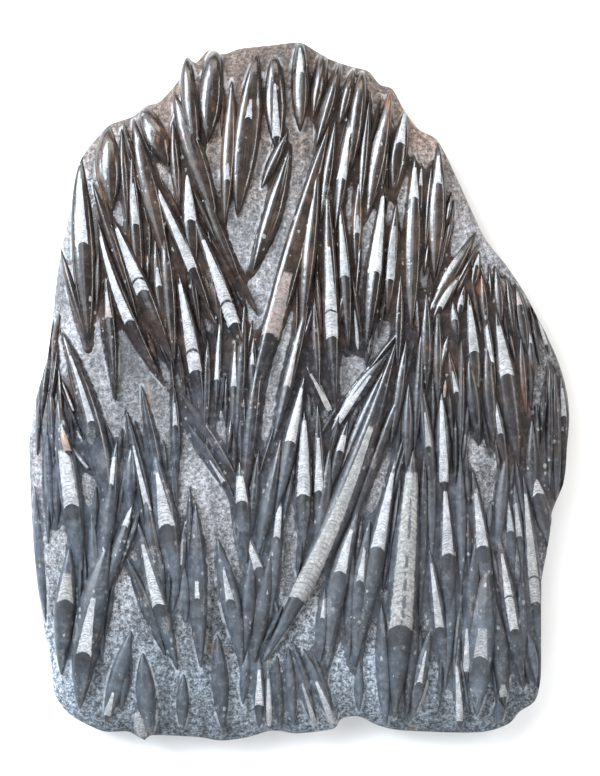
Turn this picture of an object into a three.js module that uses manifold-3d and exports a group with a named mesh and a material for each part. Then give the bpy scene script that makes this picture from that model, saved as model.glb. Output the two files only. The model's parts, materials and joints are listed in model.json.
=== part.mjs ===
// A free-form slab of black limestone, carved so that its straight-shelled fossil cones stand
// out as polished ridges. It lies on its flat sawn back.
// Frame: millimetres, +Z up out of the carved face, +Y along the length towards the ridges'
// upper ends, origin in the middle of the back.
import * as THREE from 'three';
import { mergeVertices } from 'three/addons/utils/BufferGeometryUtils.js';
import Module from 'manifold-3d';

const wasm = await Module();
wasm.setup();

// ---- driving dimensions (mm) ----
const RIM_HEIGHT = 24; // height of the widest line round the side
const SHOULDER_RISE = 19; // the ground climbs this much from the rim
const SHOULDER_WIDTH = 48; // over this distance inwards
const DOME_RISE = 8; // and this much more by the middle of the slab
const FOOT_INSET = 7; // the broken side tucks in this far at the back
const RIDGE_RISE = 0.46; // height of a ridge above the ground, as a share of its width
const RIDGE_KEEL = 9; // depth of a ridge's underside inside the slab
const TIP_DEPTH = 2.25; // depth of a ridge's tips under the ground
const EDGE_MARGIN = 1.2; // ridges stop this far inside the outline

// Rings round the slab below and at the rim: inset from the outline and height.
const SIDE_RINGS = [[FOOT_INSET, 0], [1.05, 8.4], [0, RIM_HEIGHT]];
// Insets of the rings over the ground, from the rim inwards.
const GROUND_INSETS = [4.8, 19.2, SHOULDER_WIDTH, 125];

// Along a ridge, from the upper tip: fractions of the length, and the width there as a share
// of the greatest width.
const STATIONS = [[0.24, 0.82], [0.74, 0.82]];
// Over half a ridge's section: share of the half width, share of the height.
const SECTION = [[1, 0], [0.55, 0.88]];

const HIT_SLACK = 1e-9; // lets a heading through a corner count as a hit
const WELD_DISTANCE = 1e-4; // points closer than this are one point

// Outline of the slab, clockwise from the lower left corner.
const OUTLINE = [
  [-244, -366], [-260, -354], [-272, -335], [-276, -303], [-285, -253], [-293, -198], [-297, -140],
  [-300, -61], [-298, -44], [-293, -10], [-280, 36], [-274, 82], [-266, 150], [-255, 200],
  [-243, 256], [-222, 285], [-209, 297], [-184, 306], [-169, 318], [-155, 322], [-134, 346],
  [-125, 372], [-115, 365], [-100, 380], [-84, 375], [-66, 381], [-30, 385], [1, 388], [16, 380],
  [33, 370], [55, 362], [77, 356], [90, 341], [104, 336], [117, 312], [133, 291], [154, 279],
  [174, 240], [192, 200], [208, 168], [231, 139], [252, 107], [270, 72], [285, 41], [295, 11],
  [300, -20], [297, -60], [294, -101], [281, -135], [276, -175], [268, -224], [268, -318],
  [262, -344], [245, -356], [232, -370], [199, -379], [119, -377], [90, -372], [66, -361],
  [47, -364], [38, -375], [-1, -380], [-30, -377], [-60, -385], [-87, -388], [-114, -384],
  [-163, -382], [-172, -387], [-190, -378], [-216, -378],
];

// Ridges: x and y of the upper tip, x and y of the lower tip, greatest width, and, where the
// ridge is bent, how far its middle swings to the right.
const RIDGES = [
  // upper third, left to right
  [-243, 268, -231, 48, 27], [-212, 298, -206, 198, 30], [-228, 232, -176, 76, 14],
  [-196, 292, -188, 180, 12], [-184, 262, -172, 95, 16], [-184, 304, -142, 132, 23],
  [-173, 316, -143, 246, 26], [-139, 299, -131, 200, 14], [-160, 232, -96, 85, 18],
  [-125, 371, -112, 255, 21], [-123, 240, -114, 130, 18], [-140, 334, -89, 180, 25],
  [-93, 380, -101, 272, 28], [-118, 200, -56, 30, 20], [-112, 234, -60, 108, 14],
  [-74, 344, -82, 182, 18], [-46, 376, -68, 190, 30], [-10, 268, -52, 128, 18],
  [-12, 287, -42, 222, 14], [-27, 370, -24, 262, 24], [34, 296, -58, -35, 26],
  [1, 387, 1, 284, 21], [22, 262, 2, 60, 20], [28, 378, 15, 298, 18], [45, 366, 18, 268, 18],
  [44, 215, 54, 40, 16], [60, 357, 44, 292, 15], [70, 354, 56, 240, 20], [66, 235, 62, 130, 12],
  [78, 330, 66, 190, 14], [93, 222, 72, 40, 20], [101, 334, 74, 190, 21],
  [97, 305, 90, 215, 12], [107, 207, 96, 80, 16], [117, 310, 104, 215, 20],
  [127, 262, 122, 62, 20], [154, 276, 148, 122, 21], [197, 178, 138, 78, 16],
  // middle, left to right
  [-274, 10, -270, -75, 12], [-266, -5, -238, -200, 26], [-265, 160, -230, 45, 12],
  [-262, 68, -206, -140, 26, 8], [-214, 140, -202, -12, 16], [-184, -58, -186, -135, 16],
  [-222, 190, -146, 4, 20, -9], [-190, -20, -158, -160, 14], [-204, 188, -136, 26, 22],
  [-173, 7, -147, -119, 14], [-158, 168, -146, 40, 14], [-150, 190, -137, 22, 18],
  [-137, 8, -134, -95, 12], [-134, 135, -104, -35, 20], [-131, 0, -68, -94, 14],
  [-125, -31, -70, -119, 14], [-70, 65, -74, -45, 12], [-50, 60, -52, -10, 12],
  [6, 20, -28, -140, 18], [12, 110, -30, -60, 16], [5, -18, 4, -182, 20],
  [20, -12, 22, -172, 16], [8, 28, 38, -28, 12], [30, 232, 40, -30, 20],
  [54, -30, 34, -110, 14], [100, 47, 33, -46, 18], [120, 22, 48, -170, 14],
  [134, 66, 126, -70, 14], [134, 10, 148, -120, 16], [156, 0, 160, -118, 18],
  [178, 130, 146, 78, 14], [168, 100, 174, 50, 12], [186, 110, 197, -15, 16],
  [203, 100, 216, -12, 12], [212, 5, 228, -90, 14], [216, 90, 242, -85, 22],
  [240, 118, 252, 38, 14], [290, 20, 294, -115, 16],
  // lower third, left to right
  [-292, -105, -280, -258, 12], [-252, -170, -262, -314, 24], [-207, -158, -242, -352, 34, -6],
  [-200, -52, -220, -215, 20], [-182, -120, -225, -250, 18], [-184, -262, -214, -366, 20],
  [-190, -285, -196, -352, 14], [-178, -348, -171, -387, 16], [-172, -286, -164, -384, 22],
  [-178, -140, -133, -308, 22], [-160, -62, -132, -225, 26], [-124, -140, -140, -245, 14],
  [-127, -310, -129, -376, 14], [-114, -120, -108, -305, 22], [-90, -266, -84, -375, 19],
  [-90, -160, -62, -300, 22], [-66, -75, -58, -190, 20], [-64, -140, -28, -240, 14],
  [-44, -288, -44, -374, 13], [-36, -105, -42, -185, 12], [-20, -105, -34, -260, 14],
  [-6, -290, 20, -376, 12], [4, -282, 40, -372, 13], [108, 60, -42, -300, 28, 12],
  [66, -125, 30, -298, 22, -6], [78, -140, 62, -305, 18, -5], [106, -70, 60, -306, 22],
  [126, -60, 105, -362, 34], [144, -262, 124, -362, 16], [142, -170, 162, -320, 16],
  [160, -100, 166, -262, 20], [172, -288, 178, -376, 13], [184, -240, 184, -322, 13],
  [206, -185, 195, -360, 30], [190, -85, 212, -260, 18], [219, -338, 222, -368, 12],
  [216, -230, 226, -348, 20], [228, -110, 236, -200, 12], [218, -150, 248, -332, 20],
  [236, -95, 246, -205, 12], [250, -262, 262, -322, 14], [246, -90, 268, -310, 18],
  [258, -90, 278, -175, 20],
];

// ---- the outline as a distance from the middle ----

const OUTLINE_ANGLES = OUTLINE.map(([x, y]) => Math.atan2(y, x));

// Distance from the middle to the outline along a heading.
function outlineReach(angle) {
  const dx = Math.cos(angle);
  const dy = Math.sin(angle);
  let reach = 0;
  for (let i = 0; i < OUTLINE.length; i += 1) {
    const [ax, ay] = OUTLINE[i];
    const [bx, by] = OUTLINE[(i + 1) % OUTLINE.length];
    const across = (bx - ax) * dy - (by - ay) * dx;
    const t = (dx * ay - dy * ax) / across;
    const hit = (ay * (bx - ax) - ax * (by - ay)) / across;
    if (t >= -HIT_SLACK && t <= 1 + HIT_SLACK && hit > reach) {
      reach = hit;
    }
  }
  return reach;
}

// Height of the carved ground: a rounded shoulder inside the rim, then a low dome.
function groundHeight(x, y) {
  const radius = Math.hypot(x, y);
  const reach = outlineReach(Math.atan2(y, x));
  const inset = THREE.MathUtils.clamp((reach - radius) / SHOULDER_WIDTH, 0, 1);
  const shoulder = SHOULDER_RISE * Math.sqrt(1 - (1 - inset) ** 2);
  const dome = DOME_RISE * Math.max(0, 1 - (radius / reach) ** 2);
  return RIM_HEIGHT + shoulder + dome;
}

// Pulls a point back inside the outline.
function keepInside(x, y) {
  const radius = Math.hypot(x, y);
  const limit = outlineReach(Math.atan2(y, x)) - EDGE_MARGIN;
  const scale = Math.min(1, limit / radius);
  return [x * scale, y * scale];
}

// ---- closed meshes from rings of points ----

// Joins rings of points, all of one length, with a fan over each end.
function closedLoft(rings, startPoint, endPoint) {
  const count = rings[0].length;
  const points = [startPoint, ...rings.flat(), endPoint];
  const last = points.length - 1;
  const faces = [];
  for (let i = 0; i < count; i += 1) {
    const next = (i + 1) % count;
    faces.push(0, 1 + next, 1 + i);
    for (let r = 0; r + 1 < rings.length; r += 1) {
      const low = 1 + r * count;
      const high = low + count;
      faces.push(low + i, low + next, high + next);
      faces.push(low + i, high + next, high + i);
    }
    const top = 1 + (rings.length - 1) * count;
    faces.push(last, top + i, top + next);
  }
  return solidFrom(points, faces);
}

function solidFrom(points, faces) {
  const soup = new THREE.BufferGeometry();
  soup.setAttribute('position', new THREE.Float32BufferAttribute(points.flat(), 3));
  soup.setIndex(faces);
  const geometry = mergeVertices(soup, WELD_DISTANCE);
  const mesh = new wasm.Mesh({
    numProp: 3,
    vertProperties: new Float32Array(geometry.attributes.position.array),
    triVerts: new Uint32Array(geometry.index.array),
  });
  return new wasm.Manifold(mesh);
}

function geometryFrom(solid) {
  const mesh = solid.getMesh();
  const geometry = new THREE.BufferGeometry();
  geometry.setAttribute('position', new THREE.BufferAttribute(mesh.vertProperties, 3));
  geometry.setIndex(new THREE.BufferAttribute(mesh.triVerts, 1));
  geometry.computeVertexNormals();
  return geometry;
}

// ---- the slab ----

// One ring round the slab, inset from the outline, at its own height.
function slabRing(inset, height) {
  const counterClockwise = [...OUTLINE_ANGLES].reverse();
  return counterClockwise.map((angle) => {
    const radius = outlineReach(angle) - inset;
    const x = radius * Math.cos(angle);
    const y = radius * Math.sin(angle);
    return [x, y, height === undefined ? groundHeight(x, y) : height];
  });
}

function slabSolid() {
  const rings = [
    ...SIDE_RINGS.map(([inset, height]) => slabRing(inset, height)),
    ...GROUND_INSETS.map((inset) => slabRing(inset)),
  ];
  return closedLoft(rings, [0, 0, 0], [0, 0, groundHeight(0, 0)]);
}

// ---- one ridge ----

function ridgeSolid([xTop, yTop, xBottom, yBottom, width, bow = 0]) {
  const top = new THREE.Vector2(xTop, yTop);
  const bottom = new THREE.Vector2(xBottom, yBottom);
  const along = bottom.clone().sub(top).normalize();
  const across = new THREE.Vector2(-along.y, along.x);
  const axisPoint = (t) => {
    const swing = bow * 4 * t * (1 - t);
    return top.clone().lerp(bottom, t).addScaledVector(across, swing);
  };
  const tip = (t) => {
    const point = axisPoint(t);
    const [x, y] = keepInside(point.x, point.y);
    return [x, y, groundHeight(x, y) - TIP_DEPTH];
  };
  const ring = ([t, share]) => {
    const half = (width / 2) * share;
    const rise = RIDGE_RISE * width * Math.sqrt(share);
    const centre = axisPoint(t);
    const ground = groundHeight(centre.x, centre.y);
    const sectionPoint = (side, lift) => {
      const place = centre.clone().addScaledVector(across, side * half);
      const [x, y] = keepInside(place.x, place.y);
      return [x, y, ground + lift];
    };
    const right = SECTION.map(([side, lift]) => sectionPoint(side, lift * rise));
    const left = SECTION.map(([side, lift]) => sectionPoint(-side, lift * rise)).reverse();
    return [sectionPoint(0, -RIDGE_KEEL), ...right, ...left];
  };
  return closedLoft(STATIONS.map(ring), tip(0), tip(1));
}

// ---- the object ----

const stone = new THREE.MeshStandardMaterial({ color: 0x4a4744, roughness: 0.45, metalness: 0 });

const solid = wasm.Manifold.union([slabSolid(), ...RIDGES.map(ridgeSolid)]);
const slab = new THREE.Mesh(geometryFrom(solid), stone);
slab.name = 'fossil_slab';

const orthoceras = new THREE.Group();
orthoceras.add(slab);

export default orthoceras;
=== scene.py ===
"""Dresses the carved fossil slab: polished ridges with pale cones, pecked ground, broken sides.

The slab is one stone, so it is built as one closed mesh: a ground sheet with its sides and flat
back, united with every ridge. Shapes are worked out in millimetres and stored in metres.
"""

import json
import logging
import math
from collections.abc import Iterable, Sequence
from dataclasses import dataclass, field
from enum import Enum, IntEnum

import bpy
import numpy as np
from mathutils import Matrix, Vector

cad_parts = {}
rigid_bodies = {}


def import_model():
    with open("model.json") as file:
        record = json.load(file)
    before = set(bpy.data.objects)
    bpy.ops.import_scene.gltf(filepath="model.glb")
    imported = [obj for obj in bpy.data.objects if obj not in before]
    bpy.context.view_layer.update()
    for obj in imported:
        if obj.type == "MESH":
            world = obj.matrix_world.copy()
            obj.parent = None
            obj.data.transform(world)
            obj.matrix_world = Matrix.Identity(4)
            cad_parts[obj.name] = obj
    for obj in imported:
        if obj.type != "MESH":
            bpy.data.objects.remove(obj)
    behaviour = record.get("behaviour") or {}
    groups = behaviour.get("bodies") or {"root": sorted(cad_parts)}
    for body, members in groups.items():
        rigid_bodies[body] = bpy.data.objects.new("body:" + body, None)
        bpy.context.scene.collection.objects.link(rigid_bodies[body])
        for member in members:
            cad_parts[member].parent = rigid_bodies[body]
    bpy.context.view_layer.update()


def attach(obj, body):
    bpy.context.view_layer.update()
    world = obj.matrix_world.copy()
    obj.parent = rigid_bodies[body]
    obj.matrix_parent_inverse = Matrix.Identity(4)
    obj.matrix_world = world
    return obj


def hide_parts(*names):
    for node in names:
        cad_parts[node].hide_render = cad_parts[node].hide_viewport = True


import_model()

log = logging.getLogger("fossil_slab")

NODE = "fossil_slab"
BODY = "root"
MM = 0.001

CHAMBER_STEP = 0.27  # length of a chamber as a share of its cone's width
POINTED = 0.8  # power of the sine that shapes a pointed end of a ridge
BLUNT = 0.48  # the same for a rounded end
OFF_CONE = 9.0  # reading of the cone's place on a ridge without a cone
NO_CHUNK = -5.0  # reading of the last chamber's end on a cone without one
GOLDEN = 0.618034  # steps of this much spread the ridges' shades evenly


class Calcite(Enum):
    """Tints of the cones' calcite fill, in linear light."""

    WHITE = (0.48, 0.48, 0.49)
    GREY = (0.34, 0.345, 0.355)
    BUFF = (0.38, 0.37, 0.35)
    PINK = (0.33, 0.26, 0.235)
    RUST = (0.42, 0.245, 0.155)


class Stone(Enum):
    """Surfaces of the slab, with the number of the material that each takes."""

    GROUND = 0
    RIDGE = 1
    SIDE = 2
    BACK = 3


class Seed(IntEnum):
    """Numbers that settle each random pattern. Ridges add their own number to the last two."""

    SWELL = 3
    SMALL_PITS = 5
    LARGE_PITS = 6
    BLADES = 7
    BREAKS = 11
    CHIPS = 12
    POLISH = 20
    RIDGE = 1000


@dataclass(frozen=True)
class Cone:
    """A fossil cone that shows on a ridge.

    Attributes:
        start: Where its narrow end is, as a fraction of the ridge from the upper tip.
        end: Where its wide end is.
        width: Width of the wide end in millimetres.
        tint: Colour of the calcite.
        tip_width: Width of the narrow end, or None for a quarter of the wide end.
        chunk_end: Where a last chamber below the wide end stops, or None without one.
        siphuncle: Strength of the dark tube down the middle.
    """

    start: float
    end: float
    width: float
    tint: Calcite = Calcite.WHITE
    tip_width: float | None = None
    chunk_end: float | None = None
    siphuncle: float = 0.0

    def widths(self) -> tuple[float, float]:
        """Widths of the narrow and the wide end in millimetres."""
        narrow = self.width / 4 if self.tip_width is None else self.tip_width
        return narrow, self.width


@dataclass(frozen=True)
class Ridge:
    """One polished spindle of stone.

    Attributes:
        x_top: Place of the upper tip, with y_top, in millimetres.
        y_top: See x_top.
        x_low: Place of the lower tip, with y_low.
        y_low: See x_low.
        width: Greatest width.
        cone: The fossil on it, or None.
        bow: How far the middle swings to the right.
        blunt: Whether the upper end is rounded instead of pointed.
        rise: Height above the ground as a share of the width.
    """

    x_top: float
    y_top: float
    x_low: float
    y_low: float
    width: float
    cone: Cone | None = None
    bow: float = 0.0
    blunt: bool = False
    rise: float = 0.46

    def top(self) -> np.ndarray:
        """The upper tip in plan."""
        return np.array([self.x_top, self.y_top])

    def run(self) -> np.ndarray:
        """The way from the upper to the lower tip."""
        return np.array([self.x_low - self.x_top, self.y_low - self.y_top])

    def length(self) -> float:
        """Length from tip to tip."""
        return math.hypot(*self.run())

    def across(self) -> np.ndarray:
        """The direction square to the ridge, to the right when it points down."""
        along = self.run() / self.length()
        return np.array([-along[1], along[0]])

    def swing(self, t: np.ndarray) -> np.ndarray:
        """How far the axis is off the straight line at fractions of the length."""
        return self.bow * 4 * t * (1 - t)

    def share(self, t: np.ndarray) -> np.ndarray:
        """Shapes the ridge's two ends.

        Args:
            t: Fractions of the length.

        Returns:
            The width there, as shares of the greatest width.
        """
        upper = np.sin(math.pi * np.clip(t, 0, 0.5)) ** (BLUNT if self.blunt else POINTED)
        lower = np.sin(math.pi * np.clip(1 - t, 0, 0.5)) ** POINTED
        return np.minimum(upper, lower)


# Outline of the slab, clockwise from the lower left corner, in millimetres.
OUTLINE = (
    (-244, -366), (-260, -354), (-272, -335), (-276, -303), (-285, -253), (-293, -198),
    (-297, -140), (-300, -61), (-298, -44), (-293, -10), (-280, 36), (-274, 82), (-266, 150),
    (-255, 200), (-243, 256), (-222, 285), (-209, 297), (-184, 306), (-169, 318), (-155, 322),
    (-134, 346), (-125, 372), (-115, 365), (-100, 380), (-84, 375), (-66, 381), (-30, 385),
    (1, 388), (16, 380), (33, 370), (55, 362), (77, 356), (90, 341), (104, 336), (117, 312),
    (133, 291), (154, 279), (174, 240), (192, 200), (208, 168), (231, 139), (252, 107), (270, 72),
    (285, 41), (295, 11), (300, -20), (297, -60), (294, -101), (281, -135), (276, -175),
    (268, -224), (268, -318), (262, -344), (245, -356), (232, -370), (199, -379), (119, -377),
    (90, -372), (66, -361), (47, -364), (38, -375), (-1, -380), (-30, -377), (-60, -385),
    (-87, -388), (-114, -384), (-163, -382), (-172, -387), (-190, -378), (-216, -378),
)

# Every ridge, by its two tips and its greatest width, in millimetres.
RIDGES = (
    # Upper third, left to right.
    Ridge(-243, 268, -231, 48, 27, Cone(0.15, 0.49, 13), rise=0.34),
    Ridge(-212, 298, -206, 198, 30, rise=0.33), Ridge(-228, 232, -176, 76, 14),
    Ridge(-196, 292, -188, 180, 12), Ridge(-184, 262, -172, 95, 16, Cone(0.2, 0.48, 9)),
    Ridge(-190, 266, -141, 138, 8), Ridge(-184, 304, -142, 132, 23, rise=0.34),
    Ridge(-173, 316, -143, 246, 26, rise=0.34, blunt=True), Ridge(-166, 262, -150, 150, 12),
    Ridge(-139, 299, -131, 200, 14), Ridge(-160, 232, -96, 85, 18, Cone(0.06, 0.68, 12)),
    Ridge(-125, 371, -112, 255, 21, blunt=True),
    Ridge(-123, 240, -114, 130, 18, Cone(0.02, 0.5, 13), rise=0.36), Ridge(-128, 180, -108, 60, 14),
    Ridge(-140, 334, -89, 180, 25, rise=0.33),
    Ridge(-93, 380, -101, 272, 28, rise=0.34, blunt=True), Ridge(-100, 180, -84, 60, 14),
    Ridge(-105, 180, -70, 122, 6),
    Ridge(-118, 200, -56, 30, 20, Cone(0.2, 0.62, 15, chunk_end=0.76)),
    Ridge(-112, 200, -62, 118, 7), Ridge(-112, 234, -60, 108, 14, Cone(0.03, 0.2, 8)),
    Ridge(-74, 344, -82, 182, 18, Cone(0.58, 0.7, 7, Calcite.GREY)),
    Ridge(-46, 376, -68, 190, 30, Cone(0.3, 0.42, 9), rise=0.34), Ridge(-10, 268, -52, 128, 18),
    Ridge(-10, 265, -51, 131, 17, bow=5), Ridge(-12, 287, -42, 222, 14),
    Ridge(-27, 370, -24, 262, 24, Cone(0.3, 0.86, 10), rise=0.34, blunt=True),
    Ridge(34, 296, -58, -35, 26, Cone(0.5, 0.72, 22, Calcite.PINK, tip_width=10), rise=0.33),
    Ridge(1, 387, 1, 284, 21, Cone(0.08, 0.38, 9, Calcite.GREY), blunt=True),
    Ridge(22, 262, 2, 60, 20), Ridge(28, 378, 15, 298, 18, blunt=True), Ridge(40, 300, 22, 180, 14),
    Ridge(45, 366, 18, 268, 18), Ridge(44, 215, 54, 40, 16, Cone(0.18, 0.52, 11, Calcite.GREY)),
    Ridge(62, 330, 38, 170, 16, Cone(0.3, 0.62, 11)), Ridge(60, 357, 44, 292, 15),
    Ridge(70, 354, 56, 240, 20, blunt=True),
    Ridge(66, 235, 62, 130, 12, Cone(0.4, 0.6, 7, Calcite.GREY)), Ridge(78, 330, 66, 190, 14),
    Ridge(93, 222, 72, 40, 20, Cone(0.04, 0.52, 16)), Ridge(101, 334, 74, 190, 21, rise=0.36),
    Ridge(97, 305, 90, 215, 12), Ridge(107, 207, 96, 80, 16, Cone(0.2, 0.68, 10, Calcite.GREY)),
    Ridge(107, 262, 104, 215, 10, Cone(0.1, 0.9, 8, Calcite.PINK)),
    Ridge(117, 310, 104, 215, 20, Cone(0.02, 0.42, 11)),
    Ridge(127, 262, 122, 62, 20, Cone(0.08, 0.26, 12), rise=0.36),
    Ridge(135, 250, 128, 150, 9, Cone(0.05, 0.25, 5)), Ridge(146, 250, 138, 150, 9),
    Ridge(154, 276, 148, 122, 21, Cone(0.1, 0.32, 8), rise=0.36), Ridge(165, 190, 151, 122, 8),
    Ridge(171, 213, 160, 150, 8), Ridge(197, 178, 138, 78, 16, rise=0.28),
    Ridge(199, 156, 190, 110, 10, Cone(0.1, 0.4, 5)),
    # Middle, left to right.
    Ridge(-282, 60, -285, -40, 10), Ridge(-272, 80, -284, -30, 10),
    Ridge(-278, -40, -272, -150, 12), Ridge(-274, 10, -270, -75, 12),
    Ridge(-264, -55, -266, -150, 14), Ridge(-266, -12, -258, -66, 8, Cone(0.1, 0.9, 6), rise=0.9),
    Ridge(-262, -32, -249, -82, 14, Cone(0.2, 0.7, 10, Calcite.RUST, tip_width=5), rise=0.95),
    Ridge(-262, 14, -246, -26, 7, Cone(0.1, 0.9, 3), rise=0.7),
    Ridge(-266, -5, -238, -200, 26, Cone(0.3, 0.63, 18, tip_width=13)),
    Ridge(-265, 160, -230, 45, 12), Ridge(-253, -58, -229, -88, 8, Cone(0.1, 0.9, 4), rise=0.7),
    Ridge(-262, 68, -206, -140, 26, Cone(0.14, 0.5, 8), bow=8),
    Ridge(-214, 140, -202, -12, 16, Cone(0.2, 0.4, 9, Calcite.PINK)),
    Ridge(-184, -58, -186, -135, 16), Ridge(-222, 190, -146, 4, 20, Cone(0.1, 0.6, 12), bow=-9),
    Ridge(-190, -20, -158, -160, 14, Cone(0.28, 0.8, 8, tip_width=2)),
    Ridge(-204, 188, -136, 26, 22, Cone(0.05, 0.42, 15, chunk_end=0.5)),
    Ridge(-173, 7, -147, -119, 14), Ridge(-158, 168, -146, 40, 14, Cone(0.25, 0.42, 7)),
    Ridge(-150, 190, -137, 22, 18), Ridge(-137, 8, -134, -95, 12, Cone(0.2, 0.45, 6)),
    Ridge(-134, 135, -104, -35, 20, Cone(0.1, 0.55, 15, chunk_end=0.68)),
    Ridge(-100, 60, -104, -60, 14), Ridge(-131, 0, -68, -94, 14),
    Ridge(-125, -31, -70, -119, 14, Cone(0.5, 0.78, 5)),
    Ridge(-86, 90, -92, -30, 10, Cone(0.1, 0.65, 5)),
    Ridge(-70, 65, -74, -45, 12, Cone(0.2, 0.55, 7)), Ridge(-60, 100, -70, -60, 16),
    Ridge(-62, 20, -64, -90, 12), Ridge(-50, 60, -52, -10, 12, Cone(0.25, 0.45, 5)),
    Ridge(-40, 60, -62, -130, 18), Ridge(6, 20, -28, -140, 18, Cone(0.1, 0.48, 13)),
    Ridge(12, 110, -30, -60, 16, Cone(0.35, 0.62, 8, Calcite.PINK)),
    Ridge(5, -18, 4, -182, 20, Cone(0.08, 0.6, 16, tip_width=6)), Ridge(16, 110, 22, -10, 14),
    Ridge(20, -12, 22, -172, 16, Cone(0.24, 0.62, 11)),
    Ridge(8, 28, 38, -28, 12, Cone(0.15, 0.9, 8, Calcite.BUFF)),
    Ridge(30, 232, 40, -30, 20, Cone(0.28, 0.56, 14, chunk_end=0.67)),
    Ridge(54, -30, 34, -110, 14, Cone(0.22, 0.46, 9, tip_width=5)), Ridge(58, 140, 40, 60, 12),
    Ridge(60, 98, 65, 42, 6, Cone(0.15, 0.95, 5, Calcite.GREY)),
    Ridge(100, 47, 33, -46, 18, Cone(0.32, 0.88, 10), rise=0.32), Ridge(96, 30, 44, -90, 14),
    Ridge(83, 108, 72, 50, 7, Cone(0.15, 0.95, 6, Calcite.GREY)), Ridge(120, 22, 48, -170, 14),
    Ridge(118, 60, 100, -60, 14), Ridge(112, 130, 108, 20, 14), Ridge(120, 10, 118, -90, 16),
    Ridge(120, 114, 124, 64, 6, Cone(0.12, 0.9, 4, Calcite.RUST)),
    Ridge(134, 66, 126, -70, 14, blunt=True), Ridge(140, 110, 140, 0, 16),
    Ridge(134, 10, 148, -120, 16, Cone(0.25, 0.55, 7, Calcite.BUFF)), Ridge(152, 100, 152, -20, 14),
    Ridge(164, 62, 146, 4, 10, Cone(0.12, 0.62, 5)),
    Ridge(156, 0, 160, -118, 18, Cone(0.08, 0.86, 12)),
    Ridge(161, 14, 159, -10, 6, Cone(0.1, 0.9, 4, Calcite.RUST)),
    Ridge(178, 130, 146, 78, 14, Cone(0.15, 0.75, 8, Calcite.BUFF)),
    Ridge(164, 45, 176, -20, 10, Cone(0.35, 0.72, 6)),
    Ridge(168, 100, 174, 50, 12, Cone(0.2, 0.45, 7, Calcite.GREY)),
    Ridge(182, 118, 172, 70, 10, Cone(0.25, 0.5, 6, Calcite.GREY)), Ridge(178, 60, 176, -80, 12),
    Ridge(186, 110, 197, -15, 16, Cone(0.12, 0.55, 12)), Ridge(186, 40, 198, -60, 18),
    Ridge(200, 130, 206, 60, 12), Ridge(203, 100, 216, -12, 12, Cone(0.2, 0.62, 7)),
    Ridge(206, 60, 214, -60, 16), Ridge(216, 140, 222, 70, 14),
    Ridge(212, 5, 228, -90, 14, Cone(0.1, 0.55, 6)),
    Ridge(216, 90, 242, -85, 22, Cone(0.1, 0.43, 17)), Ridge(228, 128, 236, 60, 12),
    Ridge(240, 118, 252, 38, 14, Cone(0.1, 0.3, 7, Calcite.PINK)), Ridge(244, 60, 250, -30, 12),
    Ridge(250, 82, 258, 10, 11, Cone(0.18, 0.42, 7, Calcite.GREY)), Ridge(256, -30, 256, -125, 15),
    Ridge(260, 98, 276, 42, 10, Cone(0.25, 0.85, 5, Calcite.BUFF)), Ridge(276, 30, 276, -110, 12),
    Ridge(282, 24, 284, -125, 14), Ridge(290, 20, 294, -115, 16, Cone(0.12, 0.36, 7, Calcite.GREY)),
    # Lower third, left to right.
    Ridge(-292, -105, -280, -258, 12),
    Ridge(-252, -170, -262, -314, 24, Cone(0.2, 0.44, 20, Calcite.BUFF, tip_width=8)),
    Ridge(-207, -158, -242, -352, 34, Cone(0.35, 0.68, 18, tip_width=5), bow=-6),
    Ridge(-228, -130, -216, -300, 18),
    Ridge(-200, -52, -220, -215, 20, Cone(0.12, 0.31, 7, tip_width=4)),
    Ridge(-182, -120, -225, -250, 18, Cone(0.05, 0.22, 8)),
    Ridge(-184, -262, -214, -366, 20, Cone(0.65, 0.93, 10)), Ridge(-190, -285, -196, -352, 14),
    Ridge(-178, -348, -171, -387, 16, Cone(0.1, 0.97, 15, Calcite.GREY, tip_width=11)),
    Ridge(-172, -286, -164, -384, 22), Ridge(-190, -180, -146, -292, 16),
    Ridge(-170, -100, -146, -250, 18), Ridge(-178, -140, -133, -308, 22, Cone(0.16, 0.57, 15)),
    Ridge(-160, -62, -132, -225, 26, Cone(0.16, 0.54, 20, tip_width=3)),
    Ridge(-124, -140, -140, -245, 14, Cone(0.2, 0.48, 7)), Ridge(-127, -310, -129, -376, 14),
    Ridge(-128, -185, -124, -255, 14),
    Ridge(-114, -120, -108, -305, 22, Cone(0.47, 0.58, 6, tip_width=4)),
    Ridge(-90, -266, -84, -375, 19), Ridge(-90, -160, -62, -300, 22, Cone(0.25, 0.5, 10)),
    Ridge(-66, -75, -58, -190, 20, Cone(0.15, 0.42, 15, tip_width=8)),
    Ridge(-56, -282, -62, -345, 12), Ridge(-52, -175, -60, -290, 16),
    Ridge(-44, -60, -56, -175, 14), Ridge(-64, -140, -28, -240, 14, Cone(0.18, 0.55, 11)),
    Ridge(-44, -288, -44, -374, 13, Cone(0.2, 0.68, 11)), Ridge(-30, -170, -50, -300, 18),
    Ridge(-36, -105, -42, -185, 12, Cone(0.2, 0.65, 6, Calcite.GREY)),
    Ridge(-20, -50, -48, -190, 18), Ridge(-34, -300, -33, -376, 10, Cone(0.2, 0.95, 9)),
    Ridge(-20, -105, -34, -260, 14, Cone(0.13, 0.36, 8, tip_width=6)),
    Ridge(-24, -290, -20, -376, 12), Ridge(-12, -280, -6, -370, 12),
    Ridge(-6, -290, 20, -376, 12, Cone(0.35, 0.95, 7, Calcite.GREY)),
    Ridge(4, -282, 40, -372, 13, Cone(0.4, 0.98, 11)),
    Ridge(28, -215, 22, -300, 14, Cone(0.15, 0.4, 5)), Ridge(14, -285, 36, -350, 10),
    Ridge(34, -60, 18, -185, 18),
    Ridge(108, 60, -42, -300, 28, Cone(0.26, 0.8, 24, Calcite.BUFF, tip_width=6), bow=12),
    Ridge(48, -195, 30, -310, 14), Ridge(66, -125, 30, -298, 22, Cone(0.15, 0.44, 14), bow=-6),
    Ridge(58, -160, 54, -300, 14), Ridge(66, -293, 66, -355, 11),
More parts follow.
